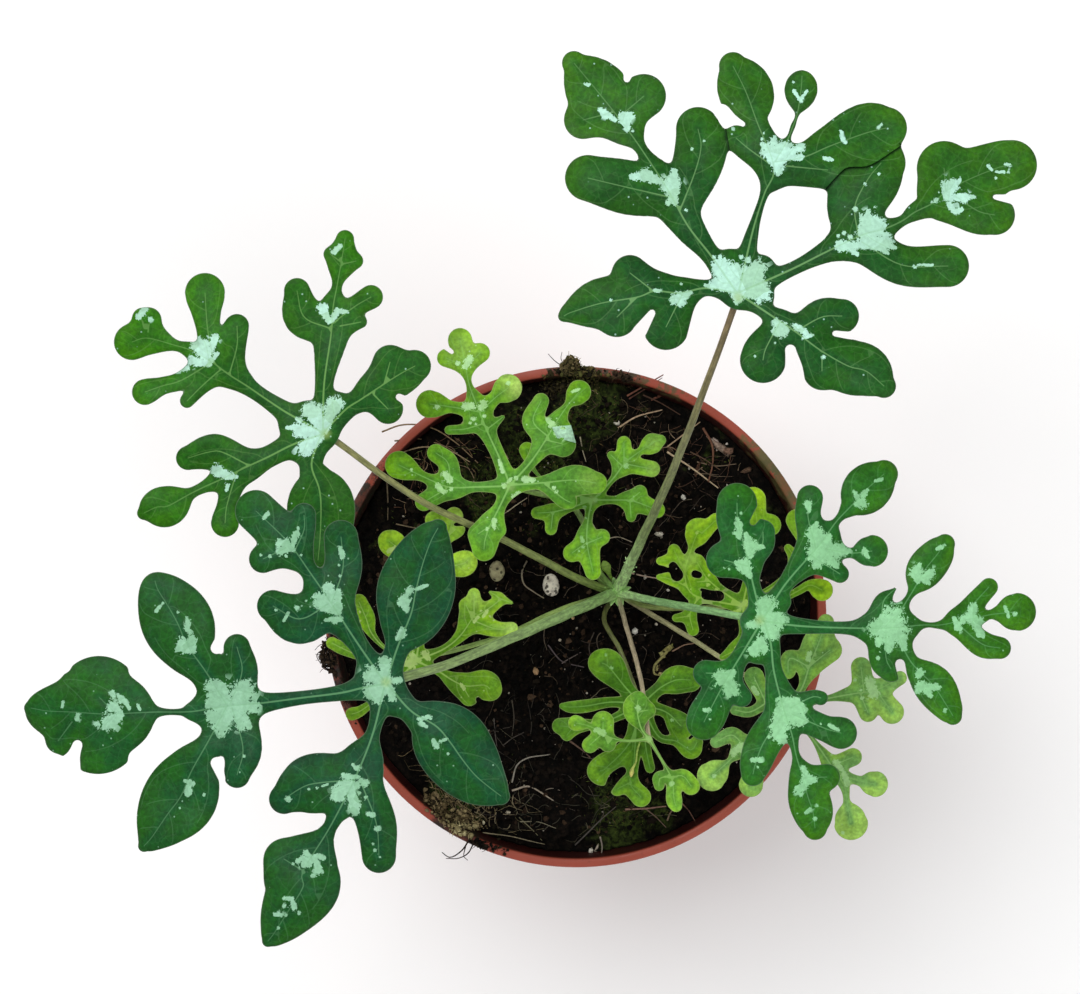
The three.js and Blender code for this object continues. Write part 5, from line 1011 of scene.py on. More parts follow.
def curve_through(spots, count):
    """A centripetal spline through spots, as count evenly spaced points."""
    spots = [np.array(spot, float) for spot in spots]
    guide = [2 * spots[0] - spots[1]] + spots + [2 * spots[-1] - spots[-2]]
    line = []
    for p0, p1, p2, p3 in zip(guide[:-3], guide[1:-2], guide[2:-1], guide[3:]):
        knots = np.cumsum([0] + [math.sqrt(np.linalg.norm(b - a)) for a, b in ((p0, p1), (p1, p2), (p2, p3))])
        for t in np.linspace(knots[1], knots[2], 24, endpoint=False):
            a1 = p0 + (p1 - p0) * (t - knots[0]) / (knots[1] - knots[0])
            a2 = p1 + (p2 - p1) * (t - knots[1]) / (knots[2] - knots[1])
            a3 = p2 + (p3 - p2) * (t - knots[2]) / (knots[3] - knots[2])
            b1 = a1 + (a2 - a1) * (t - knots[0]) / (knots[2] - knots[0])
            b2 = a2 + (a3 - a2) * (t - knots[1]) / (knots[3] - knots[1])
            line.append(b1 + (b2 - b1) * (t - knots[1]) / (knots[2] - knots[1]))
    line = np.array(line + [spots[-1]])
    lengths = np.concatenate([[0], np.cumsum(np.linalg.norm(np.diff(line, axis=0), axis=1))])
    marks = np.linspace(0, lengths[-1], count)
    return np.stack([np.interp(marks, lengths, column) for column in line.T], axis=1)


def ring_faces(rings, sides):
    """Faces over rings of spots, and over the two spots after them that close the ends."""
    start = rings * sides
    last = (rings - 1) * sides
    faces = []
    for k in range(sides):
        n = (k + 1) % sides
        for low in range(0, last, sides):
            high = low + sides
            faces.append((low + k, low + n, high + n, high + k))
        faces.append((start, n, k))
        faces.append((start + 1, last + k, last + n))
    return faces


def tube(line, radii, sides, waver=0.0, phase=0.0):
    """Spots and faces of a closed round tube along a line."""
    line = np.asarray(line, float)
    tangents = np.gradient(line, axis=0)
    tangents /= np.linalg.norm(tangents, axis=1)[:, None] + 1e-12
    normal = np.cross(tangents[0], [0.3, 0.2, 0.93])
    if np.linalg.norm(normal) < 0.1:
        normal = np.cross(tangents[0], [1, 0, 0])
    angles = np.arange(sides) / sides * 2 * math.pi
    spots = []
    for i, (centre, tangent) in enumerate(zip(line, tangents)):
        normal = normal - tangent * np.dot(normal, tangent)
        normal /= np.linalg.norm(normal)
        across = np.cross(tangent, normal)
        swell = 1 + waver * np.sin(3 * angles + phase + 0.7 * i)
        ring = np.outer(np.cos(angles) * swell, normal) + np.outer(np.sin(angles) * swell, across)
        spots.append(centre + radii[i] * ring)
    return np.vstack(spots + [line[:1], line[-1:]]), ring_faces(len(line), sides)


def per_spot(values, sides):
    """A row for each spot of a tube, from a value for each of its rings."""
    return np.concatenate([np.repeat(values, sides), values[:1], values[-1:]])[:, None]


def blend(first, second, share):
    return first + (second - first) * share


GOLDEN = (1 + 5 ** 0.5) / 2
LUMP_CORNERS = np.array([
    (-1, GOLDEN, 0), (1, GOLDEN, 0), (-1, -GOLDEN, 0), (1, -GOLDEN, 0), (0, -1, GOLDEN), (0, 1, GOLDEN),
    (0, -1, -GOLDEN), (0, 1, -GOLDEN), (GOLDEN, 0, -1), (GOLDEN, 0, 1), (-GOLDEN, 0, -1), (-GOLDEN, 0, 1),
], float)
LUMP_CORNERS /= np.linalg.norm(LUMP_CORNERS[0])
LUMP_FACES = [
    (0, 11, 5), (0, 5, 1), (0, 1, 7), (0, 7, 10), (0, 10, 11), (1, 5, 9), (5, 11, 4), (11, 10, 2),
    (10, 7, 6), (7, 1, 8), (3, 9, 4), (3, 4, 2), (3, 2, 6), (3, 6, 8), (3, 8, 9), (4, 9, 5),
    (2, 4, 11), (6, 2, 10), (8, 6, 7), (9, 8, 1),
]


def lump(centre, size, draw, rough=0.25, squash=0.75):
    """A small irregular stone or clod."""
    corners = LUMP_CORNERS * (1 + draw.uniform(-rough, rough, (len(LUMP_CORNERS), 1)))
    axis = draw.normal(size=3)
    axis /= np.linalg.norm(axis)
    angle = draw.uniform(0, 2 * math.pi)
    cos, sin = math.cos(angle), math.sin(angle)
    spun = (corners * cos + np.cross(axis, corners) * sin
            + axis * (corners @ axis)[:, None] * (1 - cos))
    stretch = np.array([1, 1, squash]) * draw.uniform(0.75, 1.25, 3)
    return np.asarray(centre) + spun * stretch * size, LUMP_FACES


class Heap:
    """Spots, faces and colours of many small shapes, gathered for one mesh."""

    def __init__(self):
        self.spots, self.faces, self.colours = [], [], []
        self.count = 0

    def add(self, spots, faces, colours):
        self.spots.append(np.asarray(spots, float))
        self.faces.extend([tuple(self.count + corner for corner in face) for face in faces])
        self.colours.append(np.broadcast_to(np.asarray(colours, float), (len(spots), 3)))
        self.count += len(spots)

    def piece(self, name):
        return mesh_from(name, np.vstack(self.spots), self.faces, colours=np.vstack(self.colours))


class Fractal:
    """Smooth repeatable noise over the plan in millimetres, from a few octaves of seeded lattices."""

    def __init__(self, seed, size=64):
        self.size = size
        self.lattice = np.random.default_rng(seed).uniform(-1, 1, (size, size))

    def octave(self, x, y):
        i, j = np.floor(x).astype(int), np.floor(y).astype(int)
        u, v = x - i, y - j
        u, v = u * u * (3 - 2 * u), v * v * (3 - 2 * v)
        i0, j0, i1, j1 = (k % self.size for k in (i, j, i + 1, j + 1))
        top = self.lattice[i0, j0] * (1 - u) + self.lattice[i1, j0] * u
        low = self.lattice[i0, j1] * (1 - u) + self.lattice[i1, j1] * u
        return top * (1 - v) + low * v

    def at(self, x, y, width, octaves, keep=0.55):
        total = np.zeros_like(np.asarray(x, float))
        for step in range(octaves):
            scale = 2 ** step / width
            total += keep ** step * self.octave(x * scale + 17 * step, y * scale + 31 * step)
        return total


GROUND_NOISE = Fractal(5)


# Materials
class Nodes:
    """Short calls for building a material's nodes."""

    def __init__(self, name):
        self.material = bpy.data.materials.new(name)
        self.material.use_nodes = True
        self.tree = self.material.node_tree
        self.shader = self.tree.nodes["Principled BSDF"]
        self.spot = self.add("ShaderNodeTexCoord").outputs["Object"]

    def add(self, kind, **settings):
        node = self.tree.nodes.new(kind)
        for key, value in settings.items():
            setattr(node, key, value)
        return node

    def join(self, node, key, value):
        """Sets an input of a node, or links a socket to it."""
        if isinstance(value, bpy.types.NodeSocket):
            self.tree.links.new(value, node.inputs[key])
        elif isinstance(value, tuple) and len(value) == 3 and node.inputs[key].type == "RGBA":
            node.inputs[key].default_value = (*value, 1)
        else:
            node.inputs[key].default_value = value

    def joined(self, kind, values, **settings):
        """A new node with its first inputs joined to values."""
        node = self.add(kind, **settings)
        for key, value in enumerate(values):
            self.join(node, key, value)
        return node

    def value(self, key):
        return self.add("ShaderNodeAttribute", attribute_name=key).outputs["Fac"]

    def colour(self, key):
        return self.add("ShaderNodeAttribute", attribute_name=key).outputs["Color"]

    def math(self, operation, a, b=0.0, c=0.0):
        return self.joined("ShaderNodeMath", (a, b, c), operation=operation).outputs[0]

    def vector(self, operation, *values):
        """A step of vector maths that gives a vector."""
        return self.joined("ShaderNodeVectorMath", values, operation=operation).outputs["Vector"]

    def measure(self, operation, *values):
        """A step of vector maths that gives a number."""
        return self.joined("ShaderNodeVectorMath", values, operation=operation).outputs["Value"]

    def times(self, vector, share):
        """A vector made longer or shorter, or a colour made lighter or darker."""
        node = self.joined("ShaderNodeVectorMath", (vector,), operation="SCALE")
        self.join(node, "Scale", share)
        return node.outputs["Vector"]

    def combine(self, x, y, z):
        return self.joined("ShaderNodeCombineXYZ", (x, y, z)).outputs[0]

    def ramp(self, value, low, high, start=0.0, end=1.0):
        """A soft step from start to end as value goes from low to high."""
        values = (value, low, high, start, end)
        return self.joined("ShaderNodeMapRange", values, interpolation_type="SMOOTHSTEP").outputs[0]

    def mix(self, share, a, b, blend="MIX"):
        node = self.add("ShaderNodeMix", data_type="RGBA", blend_type=blend)
        self.join(node, 0, share)
        self.join(node, 6, a)
        self.join(node, 7, b)
        return node.outputs[2]

    def noise(self, scale, detail=3.0, rough=0.55, spot=None):
        node = self.add("ShaderNodeTexNoise")
        self.join(node, "Vector", spot or self.spot)
        self.join(node, "Scale", scale)
        self.join(node, "Detail", detail)
        self.join(node, "Roughness", rough)
        return node.outputs["Fac"]

    def clouds(self, noise, low, high, start=0.0, end=1.0):
        """Noise, given by its scale, detail and roughness, as a soft step."""
        return self.ramp(self.noise(*noise), low, high, start, end)

    def cells(self, scale, feature="F1", output="Distance", spot=None):
        node = self.add("ShaderNodeTexVoronoi", feature=feature)
        self.join(node, "Vector", spot or self.spot)
        self.join(node, "Scale", scale)
        return node.outputs[output]

    def shares(self, scale, spot=None):
        """A random share for each cell."""
        return self.cells(scale, "F1", "Color", spot)

    def warped(self, scale, amount):
        """The place on the object, pushed about by noise, so that cells lose their straight sides."""
        noise = self.add("ShaderNodeTexNoise")
        self.join(noise, "Vector", self.spot)
        self.join(noise, "Scale", scale)
        return self.vector("MULTIPLY_ADD", noise.outputs["Color"], (amount,) * 3, self.spot)

    def bump(self, height, strength, distance):
        node = self.add("ShaderNodeBump")
        self.join(node, "Height", height)
        self.join(node, "Strength", strength)
        self.join(node, "Distance", distance)
        self.tree.links.new(node.outputs["Normal"], self.shader.inputs["Normal"])

    def end(self, colour, roughness, gloss):
        self.join(self.shader, "Base Color", colour)
        self.join(self.shader, "Roughness", roughness)
        self.join(self.shader, "Specular IOR Level", gloss)
        return self.material


def bit_material(name, noise, shades, roughness, gloss, steps=(0.3, 0.7), most=None, grain=None):
    """A skin for loose bits: each one's own tone made darker and lighter by noise, up to most."""
    nodes = Nodes(name)
    shade = nodes.clouds(noise, *steps, *shades)
    if most:
        shade = nodes.math("MINIMUM", shade, most)
    colour = nodes.times(nodes.colour("tone"), shade)
    if grain:
        nodes.bump(nodes.noise(*grain), 0.7, 0.0003)
    return nodes.end(colour, roughness, gloss)


def outward_cells(nodes, turns, growth):
    """A random share for each of many wedges that run out from a patch's start and grow on the way."""
    ray = nodes.combine(nodes.value("ray_x"), nodes.value("ray_y"), 0.0)
    wheel = nodes.times(nodes.vector("NORMALIZE", ray), turns)
    reach = nodes.math("ADD", nodes.measure("LENGTH", ray), 2.0)
    along = nodes.math("MULTIPLY", nodes.math("LOGARITHM", reach, math.e), growth)
    return nodes.shares(1.0, nodes.vector("ADD", wheel, nodes.combine(0.0, 0.0, along)))


def blade_green(nodes, look, young, rib_gap, margin, net):
    """The blade's greens: deeper by its node, painted shade by its ribs, painted light in clouds between,
    pale specks.
    """
    far = nodes.ramp(nodes.value("far"), 0.25, 0.95)
    near_edge = nodes.ramp(margin, 16.0, 0.0)
    tip = nodes.math("MULTIPLY", far, nodes.ramp(near_edge, 0.0, 1.0, 0.7, 1.0))
    green = nodes.mix(tip, linear(look["deep"]), linear(look["tip"]))
    # Painted light and painted shade: greens lit yellower in clouds between the ribs and shaded darker beside
    # them, partly also the blade's own tones
    sunny = nodes.mix(1.0, green, (1.36, 1.22, 0.66) if young else (1.3, 1.08, 0.55), "MULTIPLY")
    shady = nodes.mix(1.0, green, (0.7, 0.79, 0.64) if young else (0.84, 0.9, 1.12), "MULTIPLY")
    from_rib = nodes.ramp(rib_gap, 0.5, 6.0 if young else 9.0)
    green = nodes.mix(nodes.math("MULTIPLY", from_rib, nodes.clouds((110, 4), 0.38, 0.6)), shady, sunny)
    green = nodes.mix(nodes.value("pale"), green, linear(PALE_LOBE))
    mottle = nodes.clouds((230, 5, 0.62), 0.3, 0.7, 0.8, 1.2)
    grain = nodes.clouds((1300, 3), 0.3, 0.7, 0.8, 1.2)
    green = nodes.times(nodes.times(green, mottle), grain)
    green = nodes.mix(nodes.ramp(net, 0.045, 0.0, 0.0, 0.08), green, linear(look["vein"]))
    speck = nodes.ramp(nodes.cells(620), 0.16, 0.07)
    rare = nodes.ramp(nodes.shares(620), 0.62 if young else 0.74, 0.78)
    speck = nodes.math("MULTIPLY", nodes.math("MULTIPLY", speck, rare), 0.6)
    return nodes.mix(speck, green, linear(look["silver"]))


def silver_share(nodes):
    """Where the blade is silver: ragged patches that streak outwards, and flecks about them."""
    patch = nodes.value("patch")
    streak = nodes.math("MULTIPLY_ADD", outward_cells(nodes, 5.0, 2.6), 0.6, -0.3)
    fine = nodes.math("MULTIPLY_ADD", nodes.shares(1900, nodes.warped(2000, 0.0002)), 0.44, -0.22)
    dust = nodes.math("MULTIPLY_ADD", nodes.shares(4200), 0.5, -0.25)
    edge = nodes.math("ADD", nodes.math("ADD", patch, nodes.math("ADD", streak, fine)), dust)
    fleck = nodes.math("MULTIPLY", nodes.ramp(nodes.shares(900), 0.84, 0.86),
                       nodes.ramp(patch, -1.0, -0.2, 0.0, 0.85))
    return nodes.math("MAXIMUM", nodes.ramp(edge, -0.08, 0.0), fleck)


def blade_material(name, look):
    """Green with ragged silver patches, pale veins, a faint net, a darker margin and a painted highlight on
    its edge.
    """
    nodes = Nodes(name + "_blade")
    young = look["slot"] == "young_leaf"
    pale = linear(look["vein"])
    rib_gap, margin = nodes.value("rib_gap"), nodes.value("margin")
    net = nodes.cells(420, "DISTANCE_TO_EDGE", spot=nodes.warped(900, 0.0006))
    green = blade_green(nodes, look, young, rib_gap, margin, net)

    silver = silver_share(nodes)
    tint = nodes.math("MULTIPLY_ADD", nodes.shares(190, nodes.warped(400, 0.0012)), 0.55, -0.08)
    sheen = nodes.clouds((1300, 3), 0.3, 0.7, 0.92, 1.1)
    silver_colour = nodes.times(nodes.mix(tint, linear(look["silver"]), pale), sheen)
    colour = nodes.mix(nodes.math("MULTIPLY", silver, 0.85 if young else 0.97), green, silver_colour)
    glow = nodes.ramp(nodes.value("from_node"), 8.0, 1.0, 0.0, 0.6)
    colour = nodes.mix(glow, colour, linear("#8fae62"))

    strength = nodes.ramp(nodes.value("far"), 0.0, 0.9, 0.72, 0.38)
    bare = nodes.ramp(silver, 0.0, 1.0, 1.0, 0.45)
    rib_line = nodes.math("MULTIPLY", nodes.ramp(rib_gap, 0.65, -0.1), nodes.math("MULTIPLY", strength, bare))
    side_line = nodes.ramp(nodes.value("side_gap"), 0.7, 0.0, 0.0, 0.24 if young else 0.17)
    veins = nodes.math("MAXIMUM", rib_line, side_line)
    colour = nodes.mix(veins, colour, pale)

    colour = nodes.times(colour, nodes.ramp(margin, 7.0, 1.5, 1.0, 0.9 if young else 0.8))
    # A thin paler line along the edge: painted highlight, on young blades partly their own pale margin
    painted_edge_highlight = nodes.ramp(margin, 1.9, 1.0, 0.0, 0.55)
    colour = nodes.mix(painted_edge_highlight, colour, linear("#8f9f62" if young else "#5f6f5c"))
    shadow = nodes.ramp(nodes.value("shadow"), 0.1, 0.8, 0.0, 0.75)
    colour = nodes.mix(shadow, colour, linear("#0c2410"))
    below = nodes.mix(0.45, nodes.mix(veins, green, pale), (0.25, 0.36, 0.2))
    colour = nodes.mix(nodes.value("under"), colour, below)

    pores = nodes.math("MULTIPLY", nodes.noise(1300, 2), 0.3)
    nodes.bump(nodes.math("ADD", nodes.math("MULTIPLY", net, 0.9), pores), 0.22, 0.0003)
    return nodes.end(colour, nodes.clouds((220, 3), 0.3, 0.7, 0.5, 0.62), 0.14)


# Blades
def hex_spots(plan, step, draw):
    """Slightly shaken hexagonal spots over a plan."""
    rows = []
    for row, y in enumerate(np.arange(plan.low[1], plan.high[1], step * HEX_ROW)):
        xs = np.arange(plan.low[0] + (row % 2) * step / 2, plan.high[0], step)
        rows.append(np.column_stack([xs, np.full(len(xs), y)]))
    spots = np.vstack(rows)
    return spots + draw.uniform(-HEX_SHAKE * step, HEX_SHAKE * step, spots.shape)


def clear_of(spots, others, gap):
    """The spots that lie farther than gap from every other spot."""
    kept = np.ones(len(spots), bool)
    for low in range(0, len(spots), CHUNK):
        part = spots[low:low + CHUNK]
        away = np.hypot(part[:, 0:1] - others[:, 0], part[:, 1:2] - others[:, 1]).min(axis=1)
        kept[low:low + CHUNK] = away > gap
    return spots[kept]


def triangulated(plan, lines, patches, draw):
    """Points and triangles that follow a blade's outline and its veins, finer where its patches are."""
    loops = plan.loops()
    spots, edges, faces = [], [], []
    for loop in loops:
        first = len(spots)
        spots.extend(loop)
        ring = list(range(first, first + len(loop)))
        edges.extend(zip(ring, ring[1:] + ring[:1]))
        faces.append(ring if loop_area(loop) > 0 else ring[::-1])
    drawn = []
    for line in lines:
        previous = None
        for spot, keep in zip(line[:, :2], plan.outside(line[:, :2]) < -VEIN_TO_EDGE):
            current = len(spots) if keep else None
            if keep:
                spots.append(spot)
                drawn.append(spot)
                if previous is not None:
                    edges.append((previous, current))
            previous = current
    fine = hex_spots(plan, PATCH_STEP, draw)
    fine = fine[patches.strokes.outside(fine).min(axis=1) < PATCH_STEP]
    fine = clear_of(fine[plan.outside(fine) < -PATCH_STEP], np.array(drawn), 0.5 * PATCH_STEP)
    fill = hex_spots(plan, FILL_STEP, draw)
    fill = fill[plan.outside(fill) < -0.55 * FILL_STEP]
    fill = clear_of(fill, np.vstack([np.array(drawn), fine]), 0.5 * FILL_STEP)
    spots.extend(fine)
    spots.extend(fill)
    result = delaunay_2d_cdt([Vector(spot) for spot in spots], edges, faces, 0, 1e-4, True)
    holes = set(range(1, len(loops)))
    kept = [face for face, owners in zip(result[2], result[5])
            if 0 in owners and not holes.intersection(owners)]
    return np.array([tuple(spot) for spot in result[0]]), kept


def two_sheets(points, triangles):
    """Faces of an upper and a lower sheet over the same points, joined along their edges."""
    count = len(points)
    faces, edges = [], {}
    for a, b, c in triangles:
        if loop_area(points[[a, b, c]]) > 0:
            b, c = c, b
        faces += [(a, b, c), (a + count, c + count, b + count)]
        for edge in ((a, b), (b, c), (c, a)):
            edges[edge] = True
    for a, b in edges:
        if (b, a) not in edges:
            faces.append((b, a, a + count, b + count))
    return faces


def pale_share(name, points):
    """How pale each point of a blade is, 0 on most of it."""
    share = np.zeros(len(points))
    x, y = points.T
    for x0, y0, reach, most in PALE_LOBES.get(name, []):
        share = np.maximum(share, most * np.exp(-((x - x0) ** 2 + (y - y0) ** 2) / reach ** 2))
    return share


def blade(name, number):
    """A thin blade with an upper and a lower sheet, sunken veins above and raised ones below."""
    look = LOOKS[name]
    plan = BladePlan(name)
    draw = np.random.default_rng(100 + number)
    ribs = rib_lines(name, plan)
    sides = side_veins(plan, draw, WIDE_VEIN_SPACING if plan.size > LARGE_BLADE else TIGHT_VEIN_SPACING)
    patches = Patches(PATCHES[name])
    laps = [Lap(line) for line in LAPS.get(name, [])]
    steps = [side for lap in laps for side in lap.sides()]
    points, triangles = triangulated(plan, ribs + sides + steps, patches, draw)
    outside = plan.outside(points)
    crinkle = YOUNG_CRINKLE if look["slot"] == "young_leaf" else CRINKLE
    middle = plan.height(points, outside) + crinkle * GROUND_NOISE.at(*points.T, 15, 2)
    shadow = np.zeros(len(points))
    for lap in laps:
        lift, near = lap.at(points)
        middle += lift
        shadow = np.maximum(shadow, near)

    rib_gap = Strokes(ribs).outside(points).min(axis=1)
    side_gap = Strokes(sides).outside(points).min(axis=1)
    from_vein = np.clip(np.minimum(rib_gap, side_gap), 0, None)
    from_rib = np.clip(rib_gap, 0, None)
    quilt = QUILTING * (1 - np.exp(-from_vein / 5)) * np.clip(-outside / 10, 0, 1)
    upper = middle + SHEET / 2 + quilt - GROOVE * np.exp(-from_rib / 1.6)
    ridge = MIDRIB_RELIEF * np.exp(-from_rib / 1.8) * np.clip(-outside / 6, 0, 1)
    lower = middle - SHEET / 2 + 0.6 * quilt - ridge
    spots = np.vstack([place(*points.T, upper), place(*points.T, lower)])

    far = np.hypot(*(points - LEAVES[name]["node"]).T)
    patch, ray = patches.at(points)
    values = {
        "rib_gap": rib_gap, "side_gap": side_gap, "margin": -outside, "shadow": shadow,
        "patch": patch, "ray_x": ray[:, 0], "ray_y": ray[:, 1], "pale": pale_share(name, points),
        "from_node": far, "far": far / far.max(),
    }
    values = {key: np.tile(column, 2) for key, column in values.items()}
    values["under"] = np.repeat([0.0, 1.0], len(points))
    piece = mesh_from("blade_" + name, spots, two_sheets(points, triangles), values)
    piece.data.set_sharp_from_angle(angle=math.radians(55))
    finish_piece(piece, blade_material(name, look), "leaf_" + name)


# Stem and petioles
crown = place(*CROWN, SOIL_TOP + CROWN_OVER_SOIL)


def petiole_line(name, count=56):
    petiole, leaf = PETIOLES[name], LEAVES[name]
    plan = BladePlan(name)
    node = np.array([leaf["node"]], float)
    underside = float(plan.height(node, plan.outside(node))[0]) - SHEET / 2 - MIDRIB_RELIEF / 2
    top = underside - 0.6 * petiole["radii"][1]
    bottom = SOIL_TOP + CROWN_OVER_SOIL - STEM_RADIUS
    path = np.array([CROWN, *petiole["via"], leaf["node"]], float)
    lengths = np.concatenate([[0], np.cumsum(np.hypot(*np.diff(path, axis=0).T))])
    share = lengths / lengths[-1]
    heights = bottom + (top - bottom) * (1 - (1 - share) ** petiole["rise"])
    return curve_through(place(*path.T, heights), count)


def from_crown(spots):
    """How far spots lie from the crown on the plan, in metres."""
    return np.hypot(spots[:, 0] - crown[0], spots[:, 1] - crown[1])


class GreenHeap(Heap):
    """Tubes of the stem and petioles, with where each spot lies round and along its tube, for the stripes."""

    def __init__(self, draw):
        super().__init__()
        self.draw = draw
        self.skins = []

    def wrap(self, rings, sides, length):
        """Notes where the spots of the tube added last lie round it and along it."""
        angles = np.tile(np.arange(sides) / sides * 2 * math.pi, rings)
        along = np.repeat(np.linspace(0, length, rings), sides)
        start = self.draw.random() * 40
        skin = np.column_stack([np.cos(angles), np.sin(angles), along * 0.12 + start])
        self.skins.append(np.vstack([skin, [[0, 0, start], [0, 0, start + length * 0.12]]]))

    def petiole(self, name, sides=14):
        petiole = PETIOLES[name]
        line = petiole_line(name)
        t = np.linspace(0, 1, len(line))
        radii = blend(*petiole["radii"], t)
        radii = radii * (1 + 0.3 * np.exp(-t * 16) + 0.22 * np.exp(-(1 - t) * 30)) * MM
        spots, faces = tube(line, radii, sides, 0.05, self.draw.random() * 6)
        near = np.exp(-(from_crown(line) / MM / SHEATH_REACH.get(name, SHORT_SHEATH_REACH)) ** 2)
        low, high = (colour_of(code) for code in PETIOLE_COLOURS[name])
        tones = blend(low, high, per_spot(t, sides) ** 0.7)
        # Pale sheath green at the crown, brightened past its own colour: partly painted highlight
        tones = tones + (colour_of(SHEATH_AND_HIGHLIGHT_COLOUR) - tones) * 0.85 * per_spot(near, sides)
        self.add(spots, faces, tones)
        self.wrap(len(line), sides, float(np.linalg.norm(line[-1] - line[0])) / MM)

    def stem(self, rings=14, sides=16):
        foot = np.array([crown[0], crown[1], (SOIL_TOP - 8) * MM])
        t = np.linspace(0, 1, rings)
        radii = STEM_RADIUS * MM * np.interp(t, [0, 0.55, 0.8, 0.93, 1], [0.9, 0.92, 1.0, 0.85, 0.45])
        spots, faces = tube(np.linspace(foot, crown + [0, 0, 0.0004], rings), radii, sides, 0.06)
        self.add(spots, faces, blend(colour_of("#5f5a3a"), colour_of("#9cb889"), per_spot(t, sides)))
        self.wrap(rings, sides, 8)

    def sheath(self, angle, rings=6, sides=7):
        out = np.array([math.cos(angle), math.sin(angle), 0])
        base = crown + out * 0.0012 + [0, 0, -0.0008]
        tall = self.draw.uniform(0.8, 1.25)
        line = [base, base + out * 0.0014 * tall + [0, 0, 0.0016 * tall],
                base + out * 0.0021 * tall + [0, 0, 0.0036 * tall]]
        radii = np.array([0.7, 0.8, 0.66, 0.45, 0.28, 0.08]) * MM
        spots, faces = tube(curve_through(line, rings), radii, sides)
        # Pale sheath green, partly painted highlight
        self.add(spots, faces, colour_of(SHEATH_AND_HIGHLIGHT_COLOUR) * self.draw.uniform(0.7, 1.2))
        self.wrap(rings, sides, 4)

    # A bright speck by the crown: partly a pale fleck of the plant, partly a painted glint
    def fleck_and_glint(self, bases):
        draw = self.draw
        base = bases[draw.integers(len(bases))] if draw.random() < 0.7 else crown
        way = draw.normal(size=3)
        way *= [1, 1, 0.5] / np.linalg.norm(way)
        spot = base / MM + way * draw.uniform(1.1, 1.7)
        spots, faces = lump(spot, draw.uniform(0.1, 0.2), draw)
        self.add(spots * MM, faces, colour_of(SHEATH_AND_HIGHLIGHT_COLOUR))
        self.skins.append(np.zeros((len(spots), 3)))


def petiole_material(keys):
    nodes = Nodes("petiole_skin")
    skin = nodes.combine(*(nodes.value(key) for key in keys))
    stripe = nodes.clouds((2.6, 4, 0.6, skin), 0.36, 0.64, 0.68, 1.3)
    mottle = nodes.clouds((900, 4), 0.3, 0.7, 0.84, 1.16)
    colour = nodes.times(nodes.times(nodes.colour("tone"), stripe), mottle)
    pale_dots = nodes.ramp(nodes.cells(1400), 0.12, 0.05, 0.0, 0.3)
    colour = nodes.mix(pale_dots, colour, linear("#c9cfa8"))
    nodes.bump(nodes.math("ADD", stripe, nodes.noise(1600, 3)), 0.35, 0.0002)
    return nodes.end(colour, 0.5, 0.4)


def stem_and_petioles():
    """The stem, the petioles, the sheaths at the crown and the bright flecks on them, partly painted glints,
    in one piece.
    """
    heap = GreenHeap(np.random.default_rng(7))
    for name in PETIOLES:
        heap.petiole(name)
    heap.stem()
    for k in range(SHEATHS):
        heap.sheath(k * GOLDEN_ANGLE)
    bases = petiole_line("upper_right")
    bases = bases[from_crown(bases) < SHEATH_REACH["upper_right"] * MM]
    for _ in range(FLECKS_AND_GLINTS):
        heap.fleck_and_glint(bases)
    piece = heap.piece("stem_with_petioles")
    keys = ("round_x", "round_y", "along")
    for key, column in zip(keys, np.vstack(heap.skins).T):
        piece.data.attributes.new(key, "FLOAT", "POINT").data.foreach_set("value", column)
    finish_piece(piece, petiole_material(keys), "stem_and_petioles")


# Pot
# Earth and moss smeared on the rim: the middle on the plan, radius in millimetres, colour
RIM_STAINS = [
    ((577, 372), 9, "#2b2a15"), ((628, 372), 4, "#3b3420"), ((666, 384), 4, "#4f4a2c"),
    ((353, 500), 8, "#1c1f14"), ((367, 470), 5, "#2a1d14"), ((765, 456), 6, "#5d5734"),
    ((784, 490), 7, "#54502e"), ((800, 524), 5, "#5d5236"),
    ((338, 655), 8, "#12110c"), ((345, 690), 6, "#191510"), ((452, 832), 9, "#1c1a12"),
]
POT_SIDES = 160


def outer_radius(z):
    return BASE_RADIUS + WALL_SPREAD * z / BAND_FOOT


def inner_radius(z):
    return outer_radius(z) - WALL


def rounded(profile, radius, steps=4):
    """The profile with its corners rounded off."""
    points = [np.array(point, float) for point in profile]
    out = [points[0]]
    for before, corner, after in zip(points[:-2], points[1:-1], points[2:]):
        reach = min(radius, 0.45 * np.linalg.norm(before - corner), 0.45 * np.linalg.norm(after - corner))
        start = corner + (before - corner) / np.linalg.norm(before - corner) * reach
        end = corner + (after - corner) / np.linalg.norm(after - corner) * reach
        for t in np.linspace(0, 1, steps):
            out.append((1 - t) ** 2 * start + 2 * t * (1 - t) * corner + t * t * end)
    return out + [points[-1]]


def lathed(name, profile, sides):
    """A piece turned about the z axis from a profile of radius and height that starts and ends on it."""
    spots = []
    for radius, z in profile[1:-1]:
        for k in range(sides):
            angle = 2 * math.pi * k / sides
            spots.append((radius * math.cos(angle) * MM, radius * math.sin(angle) * MM, z * MM))
    spots += [(0, 0, z * MM) for _, z in (profile[0], profile[-1])]
    return mesh_from(name, spots, ring_faces(len(profile) - 2, sides))


